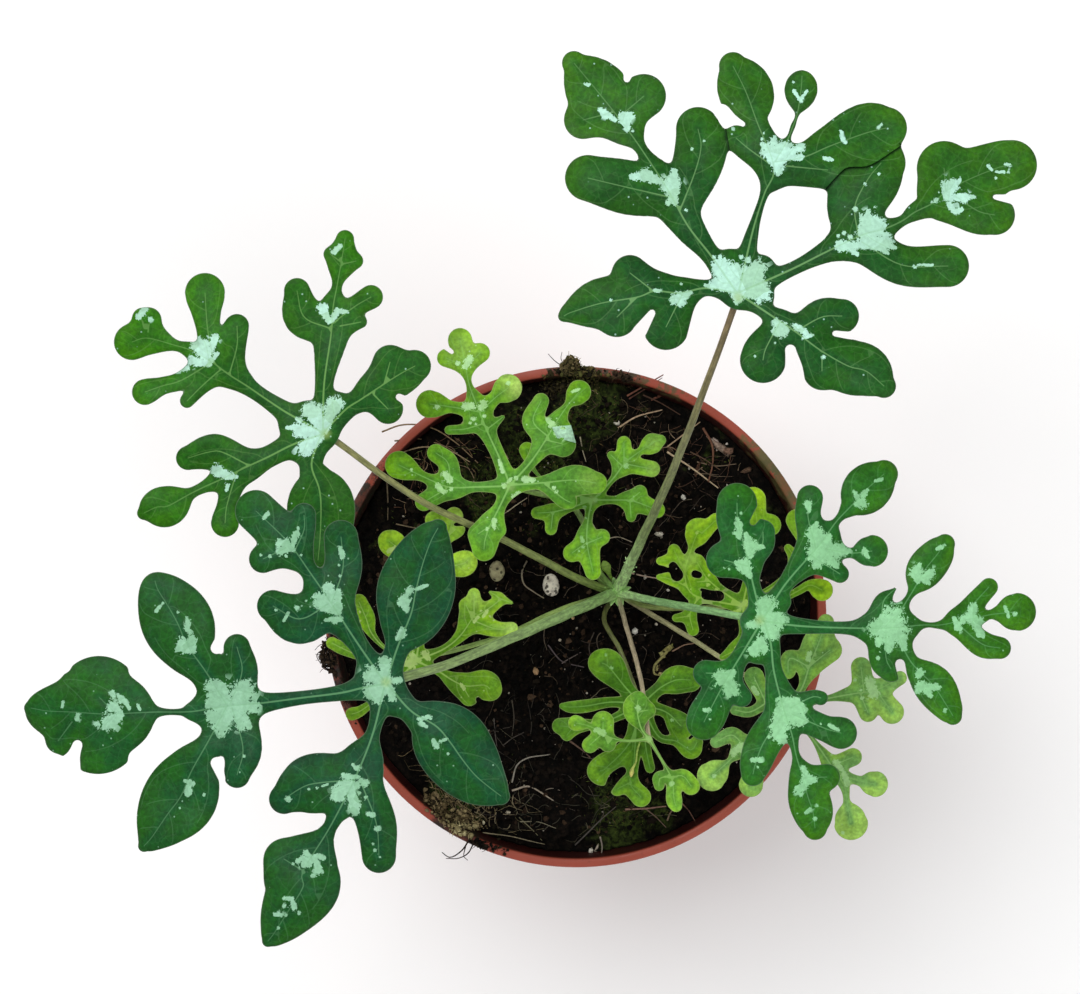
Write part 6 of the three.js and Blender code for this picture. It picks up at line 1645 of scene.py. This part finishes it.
def drill(piece):
    """Cuts the ring of drainage holes."""
    cutter = bmesh.new()
    radius = DRAIN_HOLE_DIAMETER / 2 * MM
    for k in range(DRAIN_HOLES):
        angle = (k + 0.5) / DRAIN_HOLES * 2 * math.pi
        ring = bmesh.ops.create_cone(
            cutter, cap_ends=True, segments=32, radius1=radius, radius2=radius, depth=4 * POT_FLOOR * MM)
        shift = Vector((math.cos(angle), math.sin(angle), 0)) * DRAIN_CIRCLE_DIAMETER / 2 * MM
        bmesh.ops.translate(cutter, verts=ring["verts"], vec=shift)
    rods = bpy.data.meshes.new("rods")
    cutter.to_mesh(rods)
    cutter.free()
    rod_piece = bpy.data.objects.new("rods", rods)
    bpy.context.scene.collection.objects.link(rod_piece)
    cut = piece.modifiers.new("holes", "BOOLEAN")
    cut.object = rod_piece
    cut.operation = "DIFFERENCE"
    cut.solver = "EXACT"
    apply_modifiers(piece)
    bpy.data.objects.remove(rod_piece)


def stained(nodes, colour, spot, radius, code):
    """The colour with a ragged stain of earth or moss round a spot of the rim."""
    near = nodes.measure("DISTANCE", nodes.spot, tuple(place(*spot, POT_HEIGHT)))
    reach = nodes.math("ADD", near, nodes.clouds((260, 5, 0.7), 0.3, 0.7, -0.004, 0.004))
    stain = nodes.ramp(reach, radius * MM, 0.6 * radius * MM)
    stain = nodes.math("MULTIPLY", stain, nodes.clouds((330, 5, 0.65), 0.36, 0.62, 0.6, 0.97))
    return nodes.mix(stain, colour, linear(code))


def pot_material():
    """Worn red plastic, with painted shade on the inner wall and stains on the rim."""
    nodes = Nodes("red_plastic")
    x, y, z = nodes.joined("ShaderNodeSeparateXYZ", (nodes.spot,)).outputs
    across = nodes.math("SQRT", nodes.math("ADD", nodes.math("MULTIPLY", x, x), nodes.math("MULTIPLY", y, y)))
    colour = nodes.mix(nodes.clouds((60, 5, 0.6), 0.35, 0.7), linear("#92402f"), linear("#9d4939"))
    dust = nodes.clouds((420, 6, 0.7), 0.56, 0.72, 0.0, 0.35)
    colour = nodes.mix(dust, colour, linear("#5c3025"))
    # Painted shade: the inner wall of the pot is painted dark maroon
    shell = nodes.math("MULTIPLY_ADD", z, WALL_SPREAD / BAND_FOOT, (BASE_RADIUS - WALL / 2) * MM)
    shell = nodes.math("MINIMUM", shell, (RIM_RADIUS - RIM_LIP + 0.1) * MM)
    inside = nodes.ramp(nodes.math("SUBTRACT", across, shell), 0.0001, -0.0003)
    colour = nodes.mix(inside, colour, linear("#2c0c09"))
    for spot, radius, code in RIM_STAINS:
        colour = stained(nodes, colour, spot, radius, code)
    nodes.bump(nodes.noise(1800, 2), 0.12, 0.0002)
    return nodes.end(colour, nodes.clouds((140, 4), 0.3, 0.7, 0.38, 0.55), 0.3)


def pot():
    """The lathed pot with its drainage holes."""
    profile = rounded([
        (0, 0), (BASE_RADIUS, 0), (outer_radius(BAND_FOOT), BAND_FOOT), (RIM_RADIUS - 1.2, BAND_FOOT),
        (RIM_RADIUS, POT_HEIGHT), (RIM_RADIUS - RIM_LIP, POT_HEIGHT),
        (inner_radius(BAND_FOOT), BAND_FOOT), (inner_radius(POT_FLOOR), POT_FLOOR), (0, POT_FLOOR),
    ], 0.7)
    piece = lathed("nursery_pot", profile, POT_SIDES)
    drill(piece)
    piece.data.set_sharp_from_angle(angle=math.radians(35))
    finish_piece(piece, pot_material(), "pot")


# Soil
MOUNDS = ((-28, -43, 5, 8), (0, 51, 7.5, 6), (-10, 42, 2, 12))  # x, y, rise, width in millimetres
MOSS_AREAS = [  # x, y in millimetres, radius, strength
    (-28, -43, 10, 0.8), (0, 51, 12, 1.0), (-10, 40, 12, 0.8), (-22, 30, 10, 0.5), (14, 44, 9, 0.5),
    (12, -48, 9, 0.8), (-8, 24, 8, 0.5), (33, 38, 6, 0.35), (-44, 22, 6, 0.4), (46, 26, 5, 0.5),
]
SOIL_RINGS = 118
SOIL_SPOKES = 480
LEVEL_OUT = 49  # where the soil starts to sink towards the wall, in millimetres
LOOSE_REACH = 53  # how far out the loose crumbs lie, in millimetres
ROOTLET_REACH = 55


def moss_share(x, y):
    best = np.zeros_like(np.asarray(x, float))
    for mx, my, radius, strength in MOSS_AREAS:
        near = np.exp(-((x - mx) ** 2 + (y - my) ** 2) / radius ** 2)
        best = np.maximum(best, strength * near)
    return np.clip(best + 0.35 * GROUND_NOISE.at(x, y, 7, 4) * (best > 0.05), 0, 1)


def soil_height(x, y):
    """The soil's surface in millimetres."""
    x, y = np.asarray(x, float), np.asarray(y, float)
    height = SOIL_TOP + 1.3 * GROUND_NOISE.at(x, y, 13, 3)
    crumbs = np.abs(GROUND_NOISE.at(x + 40, y, 2.6, 4, 0.6))
    height += 1.5 * (0.55 - crumbs)
    for mx, my, rise, width in MOUNDS:
        height += rise * np.exp(-((x - mx) ** 2 + (y - my) ** 2) / width ** 2)
    return height - np.clip((np.hypot(x, y) - LEVEL_OUT) / 6, 0, 1)


def soil_material():
    nodes = Nodes("soil_skin")
    colour = nodes.mix(nodes.clouds((520, 8, 0.72), 0.42, 0.72), linear("#070605"), linear("#1d1611"))
    clods = nodes.clouds((130, 4), 0.5, 0.66)
    bits = nodes.math("MULTIPLY", nodes.ramp(nodes.shares(900), 0.8, 0.86, 0.0, 0.6), clods)
    colour = nodes.mix(bits, colour, linear("#4a3a2c"))
    green = nodes.mix(nodes.clouds((900, 5), 0.35, 0.65), linear("#12160a"), linear("#37431b"))
    share = nodes.ramp(nodes.math("ADD", nodes.value("moss"), nodes.noise(260, 5, 0.7)), 0.75, 1.15)
    colour = nodes.mix(share, colour, green)
    nodes.bump(nodes.noise(1400, 6, 0.7), 0.8, 0.0006)
    return nodes.end(colour, 0.95, 0.08)


def soil():
    """The crumbly surface out to the wall, with plain sides and a plain base below it."""
    edge = inner_radius(SOIL_TOP) - SOIL_EDGE_GAP
    spots, faces = [(0, 0, float(soil_height(0, 0)))], []
    angles = np.arange(SOIL_SPOKES) / SOIL_SPOKES * 2 * math.pi
    for ring in range(1, SOIL_RINGS + 1):
        out = edge * ring / SOIL_RINGS
        x, y = out * np.cos(angles), out * np.sin(angles)
        spots.extend(zip(x, y, soil_height(x, y)))
    bottom = POT_FLOOR + 0.3
    foot = inner_radius(bottom) - 1.4
    spots.extend((foot * math.cos(a), foot * math.sin(a), bottom) for a in angles)
    spots.append((0, 0, bottom))
    for k in range(SOIL_SPOKES):
        n = (k + 1) % SOIL_SPOKES
        faces.append((0, 1 + k, 1 + n))
        for ring in range(SOIL_RINGS):
            low, high = 1 + ring * SOIL_SPOKES, 1 + (ring + 1) * SOIL_SPOKES
            faces.append((low + k, high + k, high + n, low + n))
        last = 1 + SOIL_RINGS * SOIL_SPOKES
        faces.append((len(spots) - 1, last + n, last + k))
    spots = np.array(spots)
    moss = moss_share(spots[:, 0], spots[:, 1])
    piece = mesh_from("soil_bed", spots * MM, faces, {"moss": moss})
    finish_piece(piece, soil_material(), "soil")


def over_soil(draw, count, most=LOOSE_REACH):
    """Random spots on the soil, in millimetres."""
    out = most * np.sqrt(draw.random(count))
    angle = draw.random(count) * 2 * math.pi
    x, y = out * np.cos(angle), out * np.sin(angle)
    return np.column_stack([x, y, soil_height(x, y)])


def ground(x, y):
    """A spot of the plan on the soil, in millimetres."""
    z = SOIL_TOP
    for _ in range(3):
        spot = place(x, y, z) / MM
        z = float(soil_height(spot[0], spot[1]))
    return np.array([spot[0], spot[1], z])


def rim_top(x, y):
    """A spot of the plan on the soil or on the rim, whichever is higher, in millimetres."""
    spot = place(x, y, POT_HEIGHT) / MM
    if math.hypot(spot[0], spot[1]) > RIM_RADIUS - RIM_LIP:
        return spot
    return ground(x, y)


def one_of(items, draw):
    return items[draw.integers(len(items))]


def crumbs():
    draw = np.random.default_rng(21)
    heap = Heap()
    dark = [linear(code) for code in ("#0a0806", "#100c09", "#15100c", "#080706", "#1a140f")]
    light = [linear(code) for code in ("#2b2018", "#3a2c21", "#4c3b2d", "#211b14")]
    for x, y, z in over_soil(draw, 6400):
        size = 0.16 + 0.8 * draw.random() ** 4
        spots, faces = lump((x, y, z + 0.1 * size), size, draw, 0.34)
        paler = 0.16 + 0.3 * float(GROUND_NOISE.at(x, y, 18, 2))
        tones = light if draw.random() < paler else dark
        heap.add(spots * MM, faces, one_of(tones, draw))
    piece = heap.piece("soil_crumbs")
    piece.data.polygons.foreach_set("use_smooth", [False] * len(piece.data.polygons))
    grain = (2600, 4, 0.7)
    skin = bit_material("crumb_skin", (1500, 5, 0.7), (0.55, 1.3), 0.95, 0.08, most=1.0, grain=grain)
    finish_piece(piece, skin)


# Stones and grit: plan x, plan y, radius in millimetres, colour
STONES = [(551, 585, 2.3, "#e4dccb"), (497, 571, 2.2, "#a8a27c")]
GRIT = [
    (635, 631, 0.9, "#d6d2c8"), (683, 497, 0.8, "#cfcabf"), (573, 618, 0.6, "#b99b73"),
    (536, 671, 0.9, "#b08d68"), (659, 534, 0.9, "#b9b2a4"), (617, 423, 0.8, "#cfc8ba"),
    (591, 851, 0.8, "#cfc8ba"), (645, 577, 0.6, "#cbc4b6"), (560, 640, 0.5, "#b5aa96"),
    (668, 590, 0.5, "#cbc4b6"), (508, 812, 0.6, "#a59c88"), (700, 520, 0.6, "#a8a08e"),
    (487, 690, 0.5, "#a29a86"), (712, 441, 0.5, "#cdbfb2"), (727, 444, 0.5, "#d8cdc2"),
    (717, 450, 0.4, "#cdbfb2"),
]

# Chips of bark: plan x, plan y, length, width and height in millimetres, turn in degrees, colour
CHIPS = [
    (721, 447, 3.1, 1.0, 0.6, -38, "#8f7a6c"), (729, 451, 2.2, 0.9, 0.5, -30, "#75594a"),
    (716, 442, 1.7, 0.9, 0.5, -45, "#a8968a"), (697, 470, 1.8, 0.6, 0.4, 70, "#4d3527"),
    (688, 405, 1.6, 0.6, 0.4, -20, "#4a3427"), (747, 470, 1.5, 0.7, 0.4, 20, "#5a4536"),
    (655, 398, 2.2, 0.4, 0.3, 25, "#6b4436"), (484, 822, 0.8, 0.5, 0.5, 60, "#d0c8a8"),
    (667, 649, 1.4, 0.8, 0.8, 30, "#8d8650"), (663, 655, 1.1, 0.6, 0.6, -40, "#a09a62"),
    (671, 646, 0.9, 0.5, 0.6, 80, "#7d7a45"), (657, 668, 1.0, 0.6, 0.5, 60, "#968f5c"),
    (661, 673, 0.7, 0.5, 0.5, 0, "#b1a470"), (597, 848, 1.1, 0.5, 0.4, 70, "#a99d8b"),
]


def chip(x, y, size, turn, draw):
    """Spots and faces of a flat ragged chip that lies on the soil."""
    spots, faces = lump((0, 0, 0), 1, draw, 0.4, 1)
    cos, sin = math.cos(math.radians(turn)), math.sin(math.radians(turn))
    spots = spots * size @ np.array([(cos, sin, 0), (-sin, cos, 0), (0, 0, 1)])
    return spots + ground(x, y) + [0, 0, 0.6 * size[2]], faces


def stone(number, x, y, radius, code, draw):
    """A rounded stone with bulges and small pits."""
    ball = bmesh.new()
    bmesh.ops.create_icosphere(ball, subdivisions=5, radius=1)
    spots = np.array([tuple(v.co) for v in ball.verts])
    faces = [tuple(v.index for v in face.verts) for face in ball.faces]
    ball.free()
    swell = np.ones(len(spots))
    for _ in range(26):
        way = draw.normal(size=3)
        way /= np.linalg.norm(way)
        swell += draw.uniform(-0.07, 0.07) * np.exp(-np.sum((spots - way) ** 2, axis=1) / 0.25)
    pits = draw.normal(size=(60, 3))
    pits /= np.linalg.norm(pits, axis=1)[:, None]
    for pit in pits:
        swell -= draw.uniform(0.01, 0.05) * np.exp(-np.sum((spots - pit) ** 2, axis=1) / 0.008)
    centre = ground(x, y) + [0, 0, 0.55 * radius]
    spots = spots * swell[:, None] * radius * [0.85, 1.15, 0.8] + centre
    piece = mesh_from(f"stone_{number}", spots * MM, faces)
    nodes = Nodes(f"stone_skin_{number}")
    colour = nodes.mix(nodes.clouds((700, 4), 0.42, 0.66, 0.0, 0.6), linear(code), linear("#6d5f4d"))
    hollows = nodes.math("MULTIPLY", nodes.ramp(nodes.cells(1100), 0.52, 0.34),
                         nodes.ramp(nodes.shares(1100), 0.45, 0.55, 0.0, 0.9))
    colour = nodes.mix(hollows, colour, linear("#2f2820"))
    nodes.bump(nodes.noise(1600, 5, 0.7), 0.5, 0.0004)
    finish_piece(piece, nodes.end(colour, 0.85, 0.25))


def stones_and_grit():
    draw = np.random.default_rng(33)
    for number, row in enumerate(STONES):
        stone(number, *row, draw)
    heap = Heap()
    for x, y, radius, code in GRIT:
        spots, faces = lump(ground(x, y) + [0, 0, 0.5 * radius], radius, draw)
        heap.add(spots * MM, faces, linear(code))
    for x, y, long, wide, high, turn, code in CHIPS:
        spots, faces = chip(x, y, (long, wide, high), turn, draw)
        heap.add(spots * MM, faces, linear(code))
    for x, y, z in over_soil(draw, 260):
        size = 0.12 + 0.22 * draw.random() ** 2
        spots, faces = lump((x, y, z + 0.5 * size), size, draw)
        heap.add(spots * MM, faces, colour_of("#b9b0a0") * draw.uniform(0.35, 1.0))
    grain = (2200, 5, 0.7)
    skin = bit_material("grit_skin", (1800, 5, 0.7), (0.45, 1.3), 0.9, 0.15, (0.35, 0.65), grain=grain)
    finish_piece(heap.piece("pale_grit"), skin)


# Fibres that show in the soil: points on the plan, radius in millimetres, colour
ROOTS = [
    ([(627, 396), (644, 386), (663, 375)], 0.22, "#7d5040"),
    ([(629, 399), (645, 389), (662, 378)], 0.16, "#5d3b30"),
    ([(618, 428), (636, 417), (662, 410)], 0.22, "#b3987c"),
    ([(643, 395), (662, 404), (680, 415)], 0.18, "#4f382b"),
    ([(667, 452), (690, 467), (718, 488)], 0.24, "#b9a284"),
    ([(667, 447), (684, 434), (700, 422)], 0.18, "#a98f73"),
    ([(703, 428), (712, 446), (712, 466), (708, 482)], 0.3, "#6e4a38"),
    ([(697, 462), (716, 466), (736, 464)], 0.14, "#7d6a56"),
    ([(690, 452), (702, 458), (720, 470)], 0.16, "#5c4636"),
    ([(680, 400), (700, 409), (716, 420)], 0.15, "#6b4f3c"),
    ([(590, 520), (603, 538), (618, 537), (632, 542)], 0.16, "#a39682"),
    ([(627, 572), (644, 576), (662, 579)], 0.2, "#b39a8a"),
    ([(503, 515), (515, 506), (527, 498)], 0.15, "#b0a286"),
    ([(382, 432), (402, 425), (432, 428), (455, 442), (478, 463)], 0.2, "#8a7456"),
    ([(402, 452), (425, 447), (452, 452), (470, 462)], 0.16, "#a08a6c"),
    ([(395, 441), (420, 439), (446, 447), (462, 458), (475, 472)], 0.18, "#7d684d"),
    ([(527, 561), (522, 572), (524, 584), (534, 592), (544, 598)], 0.2, "#8f8370"),
    ([(387, 480), (388, 500), (388, 520)], 0.2, "#6d5f4a"),
    ([(396, 524), (430, 530), (462, 528)], 0.15, "#7e6e56"),
    ([(580, 437), (583, 452), (586, 462)], 0.16, "#a39880"),
    ([(512, 782), (517, 765), (527, 758), (550, 754)], 0.2, "#8b8478"),
    ([(512, 790), (528, 786), (541, 792), (553, 800)], 0.24, "#9a8d7c"),
    ([(541, 792), (550, 788), (560, 790)], 0.12, "#7d7365"),
    ([(545, 623), (544, 639), (547, 650)], 0.14, "#5d5145"),
    ([(548, 645), (562, 661), (584, 667)], 0.18, "#5b5152"),
    ([(562, 663), (572, 657), (581, 652)], 0.14, "#6b5f5a"),
    ([(594, 632), (589, 646), (592, 661)], 0.14, "#4d443c"),
    ([(494, 718), (495, 732), (497, 746)], 0.12, "#57504a"),
    ([(503, 745), (514, 737), (524, 732)], 0.12, "#4d463f"),
    ([(483, 832), (510, 836), (545, 844)], 0.15, "#8a7f66"),
    ([(519, 817), (531, 828), (542, 840)], 0.13, "#6f6a50"),
    ([(520, 821), (540, 822), (556, 828)], 0.12, "#7f7862"),
    ([(575, 845), (598, 822), (616, 806)], 0.18, "#4f4a44"),
    ([(570, 741), (580, 748), (590, 757)], 0.24, "#6d5648"),
    ([(625, 809), (645, 808), (666, 806)], 0.24, "#8a6a5c"),
    ([(644, 807), (655, 816), (666, 827)], 0.16, "#6f5a4c"),
    ([(667, 820), (672, 810), (682, 803)], 0.2, "#7f6a58"),
    ([(682, 803), (689, 811), (695, 821)], 0.16, "#6b4c3f"),
    ([(512, 700), (514, 718), (512, 736)], 0.14, "#4b443a"),
    ([(600, 836), (602, 846), (601, 856)], 0.2, "#8f8478"),
    ([(670, 645), (666, 652), (660, 659), (654, 666), (654, 673), (660, 675)], 0.36, "#8a8350"),
    ([(672, 651), (684, 645), (694, 643)], 0.18, "#8b6f5a"),
    ([(478, 777), (486, 792), (484, 808)], 0.2, "#6d6048"),
]

# Where thin rootlets are many: plan x, plan y, spread on the plan, count, tones
ROOTLETS = [
    (690, 440, 42, 130, ("#6b4c3a", "#7d6a56", "#4d372a", "#8f7a62", "#3d2d23")),
    (610, 410, 40, 60, ("#4b4430", "#5d5138", "#3a2f22", "#6f5f48")),
    (440, 808, 22, 300, ("#6f6044", "#8b7a56", "#54472f", "#a08c66", "#7b6a4a")),
    (472, 826, 22, 170, ("#7a6e50", "#5d5439", "#93866a")),
    (560, 815, 60, 110, ("#4d493c", "#5d5848", "#3c3a2e", "#6b654f")),
    (520, 700, 80, 90, ("#3a342d", "#4a433a", "#2d2822")),
    (425, 445, 26, 190, ("#8a6c50", "#6c4a39", "#a0866c", "#5d4a35", "#55602f")),
    (640, 570, 50, 50, ("#5c5145", "#6d6052", "#3c332b")),
    (576, 617, 170, 170, ("#3a3028", "#4a3d31", "#2b241e", "#5c4d3d")),
]


def add_fibre(heap, line, radii, sides, tone):
    spots, faces = tube(line * MM, radii * MM, sides)
    heap.add(spots, faces, tone)


def thick_roots(heap, draw, rings=26):
    for path, radius, code in ROOTS:
        marks = np.array([rim_top(x, y) for x, y in path])
        marks[:, 2] += 0.6 + radius
        line = curve_through(marks, rings)
        line[:, 2] += 0.35 * np.sin(np.linspace(0, 9, rings) + draw.random() * 6)
        add_fibre(heap, line, radius * np.linspace(1.1, 0.6, rings), 7, linear(code))


def wandering(x, y, draw, steps=6):
    """Points of a thin rootlet that wanders over the soil, in millimetres."""
    angle = draw.random() * 2 * math.pi
    bend = draw.normal() * 0.12
    length = 2 + 7 * draw.random() ** 2
    marks = []
    for _ in range(steps + 1):
        marks.append((x, y, float(soil_height(x, y)) + 0.2 + 0.6 * draw.random()))
        angle += bend + 0.22 * draw.normal()
        x, y = x + math.cos(angle) * length / steps, y + math.sin(angle) * length / steps
    return np.array(marks)


def rootlets(heap, draw, rings=10):
    for x0, y0, spread, count, tones in ROOTLETS:
        for _ in range(count):
            x, y = ground(x0 + spread * draw.normal(), y0 + spread * draw.normal())[:2]
            marks = wandering(x, y, draw)
            if np.hypot(marks[:, 0], marks[:, 1]).max() > ROOTLET_REACH:
                continue
            radius = draw.uniform(0.04, 0.12)
            line = curve_through(marks, rings)
            radii = np.linspace(radius, 0.4 * radius, rings)
            add_fibre(heap, line, radii, 4, linear(one_of(tones, draw)))


def fibres():
    draw = np.random.default_rng(45)
    heap = Heap()
    thick_roots(heap, draw)
    rootlets(heap, draw)
    skin = bit_material("fibre_skin", (1200, 4), (0.65, 1.15), 0.8, 0.25, most=1.0)
    finish_piece(heap.piece("root_fibres"), skin)


def tuft(base, draw):
    """Spots and faces of one leaning three-sided spike of moss, in millimetres."""
    lean = draw.normal(size=2) * 0.5
    tall = 0.5 + 1.1 * draw.random()
    tip = base + [lean[0] * tall, lean[1] * tall, tall]
    across = np.array([-lean[1], lean[0], 0.1])
    across *= 0.13 / (np.linalg.norm(across) + 1e-6)
    outward = np.cross((tip - base) * 0.5, across)
    outward *= 0.1 / (np.linalg.norm(outward) + 1e-9)
    spots = np.array([base - across, base + across, base + outward, tip])
    return spots, [(0, 2, 1), (0, 1, 3), (1, 2, 3), (2, 0, 3)]


def moss_tufts():
    draw = np.random.default_rng(57)
    heap = Heap()
    tones = ["#2c3514", "#47521f", "#5d6a2b", "#4a3a24", "#6d5a3a", "#39421a"]
    for x, y, z in over_soil(draw, 15000, LOOSE_REACH + 0.5):
        if draw.random() > float(moss_share(x, y)) ** 1.5 * 1.3:
            continue
        spots, faces = tuft(np.array([x, y, z - 0.2]), draw)
        heap.add(spots * MM, faces, colour_of(one_of(tones, draw)) * draw.uniform(0.6, 1.25))
    skin = bit_material("moss_skin", (900, 4), (0.6, 1.3), 0.9, 0.15, most=1.0)
    finish_piece(heap.piece("moss_tufts"), skin)


# Earth and moss that spill over the rim: plan x, plan y, spread on the plan, height in millimetres, how far
# past the rim it bulges, count, tones
SPILLS = [
    (571, 365, (5, 6), 5.0, 6.2, 420, ("#4a4228", "#5d5236", "#3a3820", "#6d6042", "#2b2615")),
    (577, 376, (11, 8), 3.5, 2.0, 620, ("#3a3420", "#4a4a26", "#2b2a15", "#5a5030", "#17140d")),
    (556, 386, (10, 6), 2.0, 0.5, 160, ("#17140d", "#2b2615", "#3a3420")),
    (622, 378, (6, 4), 1.6, 0.2, 110, ("#1d1710", "#2a2018", "#3a2d20")),
    (327, 656, (6, 10), 2.4, 4.2, 340, ("#0b0907", "#17120d", "#2a2118", "#3c3024")),
    (348, 692, (5, 12), 1.2, 0.0, 90, ("#0b0907", "#17120d", "#2a2118")),
    (432, 806, (10, 7), 2.0, -1.6, 300, ("#4a3f2a", "#5f5238", "#75664a", "#2b2418")),
    (455, 822, (14, 8), 2.6, -0.8, 420, ("#4a3f2a", "#5f5238", "#75664a", "#8a7b58", "#2b2418")),
    (480, 846, (13, 4), 1.2, 0.3, 190, ("#0d0b08", "#1b160f", "#2b2418")),
    (462, 826, (6.5, 4.5), 3.6, -0.4, 420, ("#a1966a", "#b8ad82", "#857a56", "#6d6246", "#938660")),
]

# Hairs of root that hang past the rim: points on the plan, radius in millimetres
RIM_HAIRS = [
    ([(470, 838), (462, 850), (450, 857), (442, 852)], 0.22),
    ([(474, 842), (468, 853), (458, 858), (446, 858)], 0.18),
    ([(466, 845), (464, 856), (468, 860)], 0.14),
    ([(325, 648), (317, 655), (321, 664)], 0.14),
    ([(329, 642), (320, 645), (315, 650)], 0.12),
    ([(566, 368), (556, 362), (548, 354)], 0.14),
    ([(565, 366), (561, 359), (562, 352)], 0.12),
]


def straw(spot, pile, draw):
    """The line of a short thin straw that sticks out of spilled earth."""
    way = draw.normal(size=3) * [1, 1, 0.4]
    way *= draw.uniform(0.8, 1.2 + 1.6 * pile) / np.linalg.norm(way)
    bend = draw.normal(size=3) * 0.3
    line = curve_through([spot, spot + way / 2 + bend, spot + way + [0, 0, 0.2]], 7)
    line[:, 2] = np.maximum(line[:, 2], spot[2] - 0.4)
    return line


def spilled_bits(heap, draw):
    for x0, y0, (wide, deep), height, bulge, count, tones in SPILLS:
        for _ in range(count):
            x, y = draw.normal(size=2)
            pile = math.exp(-(x * x + y * y) / 2)
            spot = rim_top(x0 + wide * x, y0 + deep * y)
            reach = bulge * pile if bulge > 0 else bulge
            if math.hypot(spot[0], spot[1]) > RIM_RADIUS - 0.7 + reach:
                continue
            size = 0.16 + 0.5 * draw.random() ** 2
            spot = spot + [0, 0, 0.1 + height * pile * draw.random()]
            spots, faces = lump(spot, size, draw, 0.45)
            heap.add(spots * MM, faces, linear(one_of(tones, draw)))
            if draw.random() < 0.15 + 0.25 * pile:
                line = straw(spot, pile, draw)
                tone = colour_of(one_of(tones, draw)) * 1.5
                add_fibre(heap, line, np.linspace(0.1, 0.04, len(line)), 4, tone)


def rim_hairs(heap, rings=14):
    for path, radius in RIM_HAIRS:
        marks = np.array([rim_top(x, y) for x, y in path])
        marks[:, 2] = POT_HEIGHT + 0.4 + radius
        line = curve_through(marks, rings)
        add_fibre(heap, line, np.linspace(radius, 0.5 * radius, rings), 6, linear("#2b2420"))


def spills():
    heap = Heap()
    spilled_bits(heap, np.random.default_rng(71))
    rim_hairs(heap)
    skin = bit_material("earth_skin", (1500, 5, 0.7), (0.6, 1.4), 0.95, 0.1)
    finish_piece(heap.piece("spilled_earth"), skin)


# Small growth
def withered_shoot(heap, rings=18, sides=9):
    """The withered shoot on the lowest blade."""
    path = [(640, 742), (637, 752), (636, 762), (632, 770), (631, 777)]
    line = curve_through(BladePlan("lower_centre").over(path, [1.4, 1.0, 1.2, 1.0, 0.9]), rings)
    t = np.linspace(0, 1, rings)
    radii = np.interp(t, [0, 0.7, 0.88, 1], [0.2, 0.24, 0.55, 0.2]) * MM
    spots, faces = tube(line, radii, sides, 0.2)
    heap.add(spots, faces, blend(colour_of("#8fab4c"), colour_of("#dccb72"), per_spot(t, sides) ** 4))


def tiny_leaf(heap, rings=14, sides=12):
    """The tiny flat leaf at the crown."""
    marks = place((612, 607, 603), (580, 569, 561), SOIL_TOP + np.array([7.0, 9.5, 10.5]))
    line = curve_through(marks, rings)
    radii = np.interp(np.linspace(0, 1, rings), [0, 0.4, 0.7, 0.9, 1], [0.3, 0.5, 1.2, 0.9, 0.1]) * MM
    spots, faces = tube(line, radii, sides)
    spots[:, 2] = blend(per_spot(line[:, 2], sides)[:, 0], spots[:, 2], 0.3)
    heap.add(spots, faces, linear("#86a648"))


def folded_corner(heap):
    """The folded corner of the top middle blade."""
    path = [(552, 427), (571, 425), (576, 443), (557, 438)]
    sheet = BladePlan("centre_top").over(path, [0.7, 0.6, 1.0, 0.5])
    sides = [(0, 3, 2, 1), (4, 5, 6, 7)] + [(k, (k + 1) % 4, 4 + (k + 1) % 4, 4 + k) for k in range(4)]
    heap.add(np.vstack([sheet - [0, 0, 0.3 * MM], sheet]), sides, linear("#a4cfae"))


def small_growth():
    heap = Heap()
    withered_shoot(heap)
    tiny_leaf(heap)
    folded_corner(heap)
    skin = bit_material("small_growth_skin", (1500, 4), (0.75, 1.25), 0.6, 0.3)
    finish_piece(heap.piece("small_growth"), skin)


# Everything
for number, name in enumerate(LEAVES):
    blade(name, number)
stem_and_petioles()
pot()
soil()
crumbs()
stones_and_grit()
fibres()
moss_tufts()
spills()
small_growth()


# Floor, light and camera
def floor(half=4.0):
    spots = [(-half, -half, 0), (half, -half, 0), (half, half, 0), (-half, half, 0)]
    piece = mesh_from("floor", spots, [(0, 1, 2, 3)])
    nodes = Nodes("pale_floor")
    colour = nodes.mix(nodes.noise(3, 2), (0.94, 0.94, 0.94), (0.95, 0.95, 0.95))
    piece.data.materials.append(nodes.end(colour, 0.9, 0.1))


def area_light(name, spot, target, width, power):
    data = bpy.data.lights.new(name, "AREA")
    data.shape = "DISK"
    data.size = width
    data.energy = power
    lamp = bpy.data.objects.new(name, data)
    lamp.location = spot
    lamp.rotation_euler = (Vector(target) - Vector(spot)).to_track_quat("-Z", "Y").to_euler()
    bpy.context.scene.collection.objects.link(lamp)


floor()
area_light("key", (-0.5, 0.6, 1.5), (0, 0, 0.1), 1.1, 18)
area_light("fill", (0.9, -0.8, 1.2), (0, 0, 0.1), 1.4, 7.5)
world = bpy.data.worlds.new("studio")
world.use_nodes = True
world.node_tree.nodes["Background"].inputs["Color"].default_value = (1, 1, 1, 1)
world.node_tree.nodes["Background"].inputs["Strength"].default_value = 0.5
bpy.context.scene.world = world
bpy.context.scene.view_settings.view_transform = "Standard"

camera_data = bpy.data.cameras.new("camera")
camera_data.sensor_width = SENSOR_WIDTH
camera_data.lens = SENSOR_WIDTH * EYE_HEIGHT / (PLAN_STEP * VIEW_WIDTH)
camera_data.clip_end = 20
camera = bpy.data.objects.new("camera", camera_data)
camera.location = place(*EYE_CENTRE, POT_HEIGHT + EYE_HEIGHT)
bpy.context.scene.collection.objects.link(camera)
bpy.context.scene.camera = camera
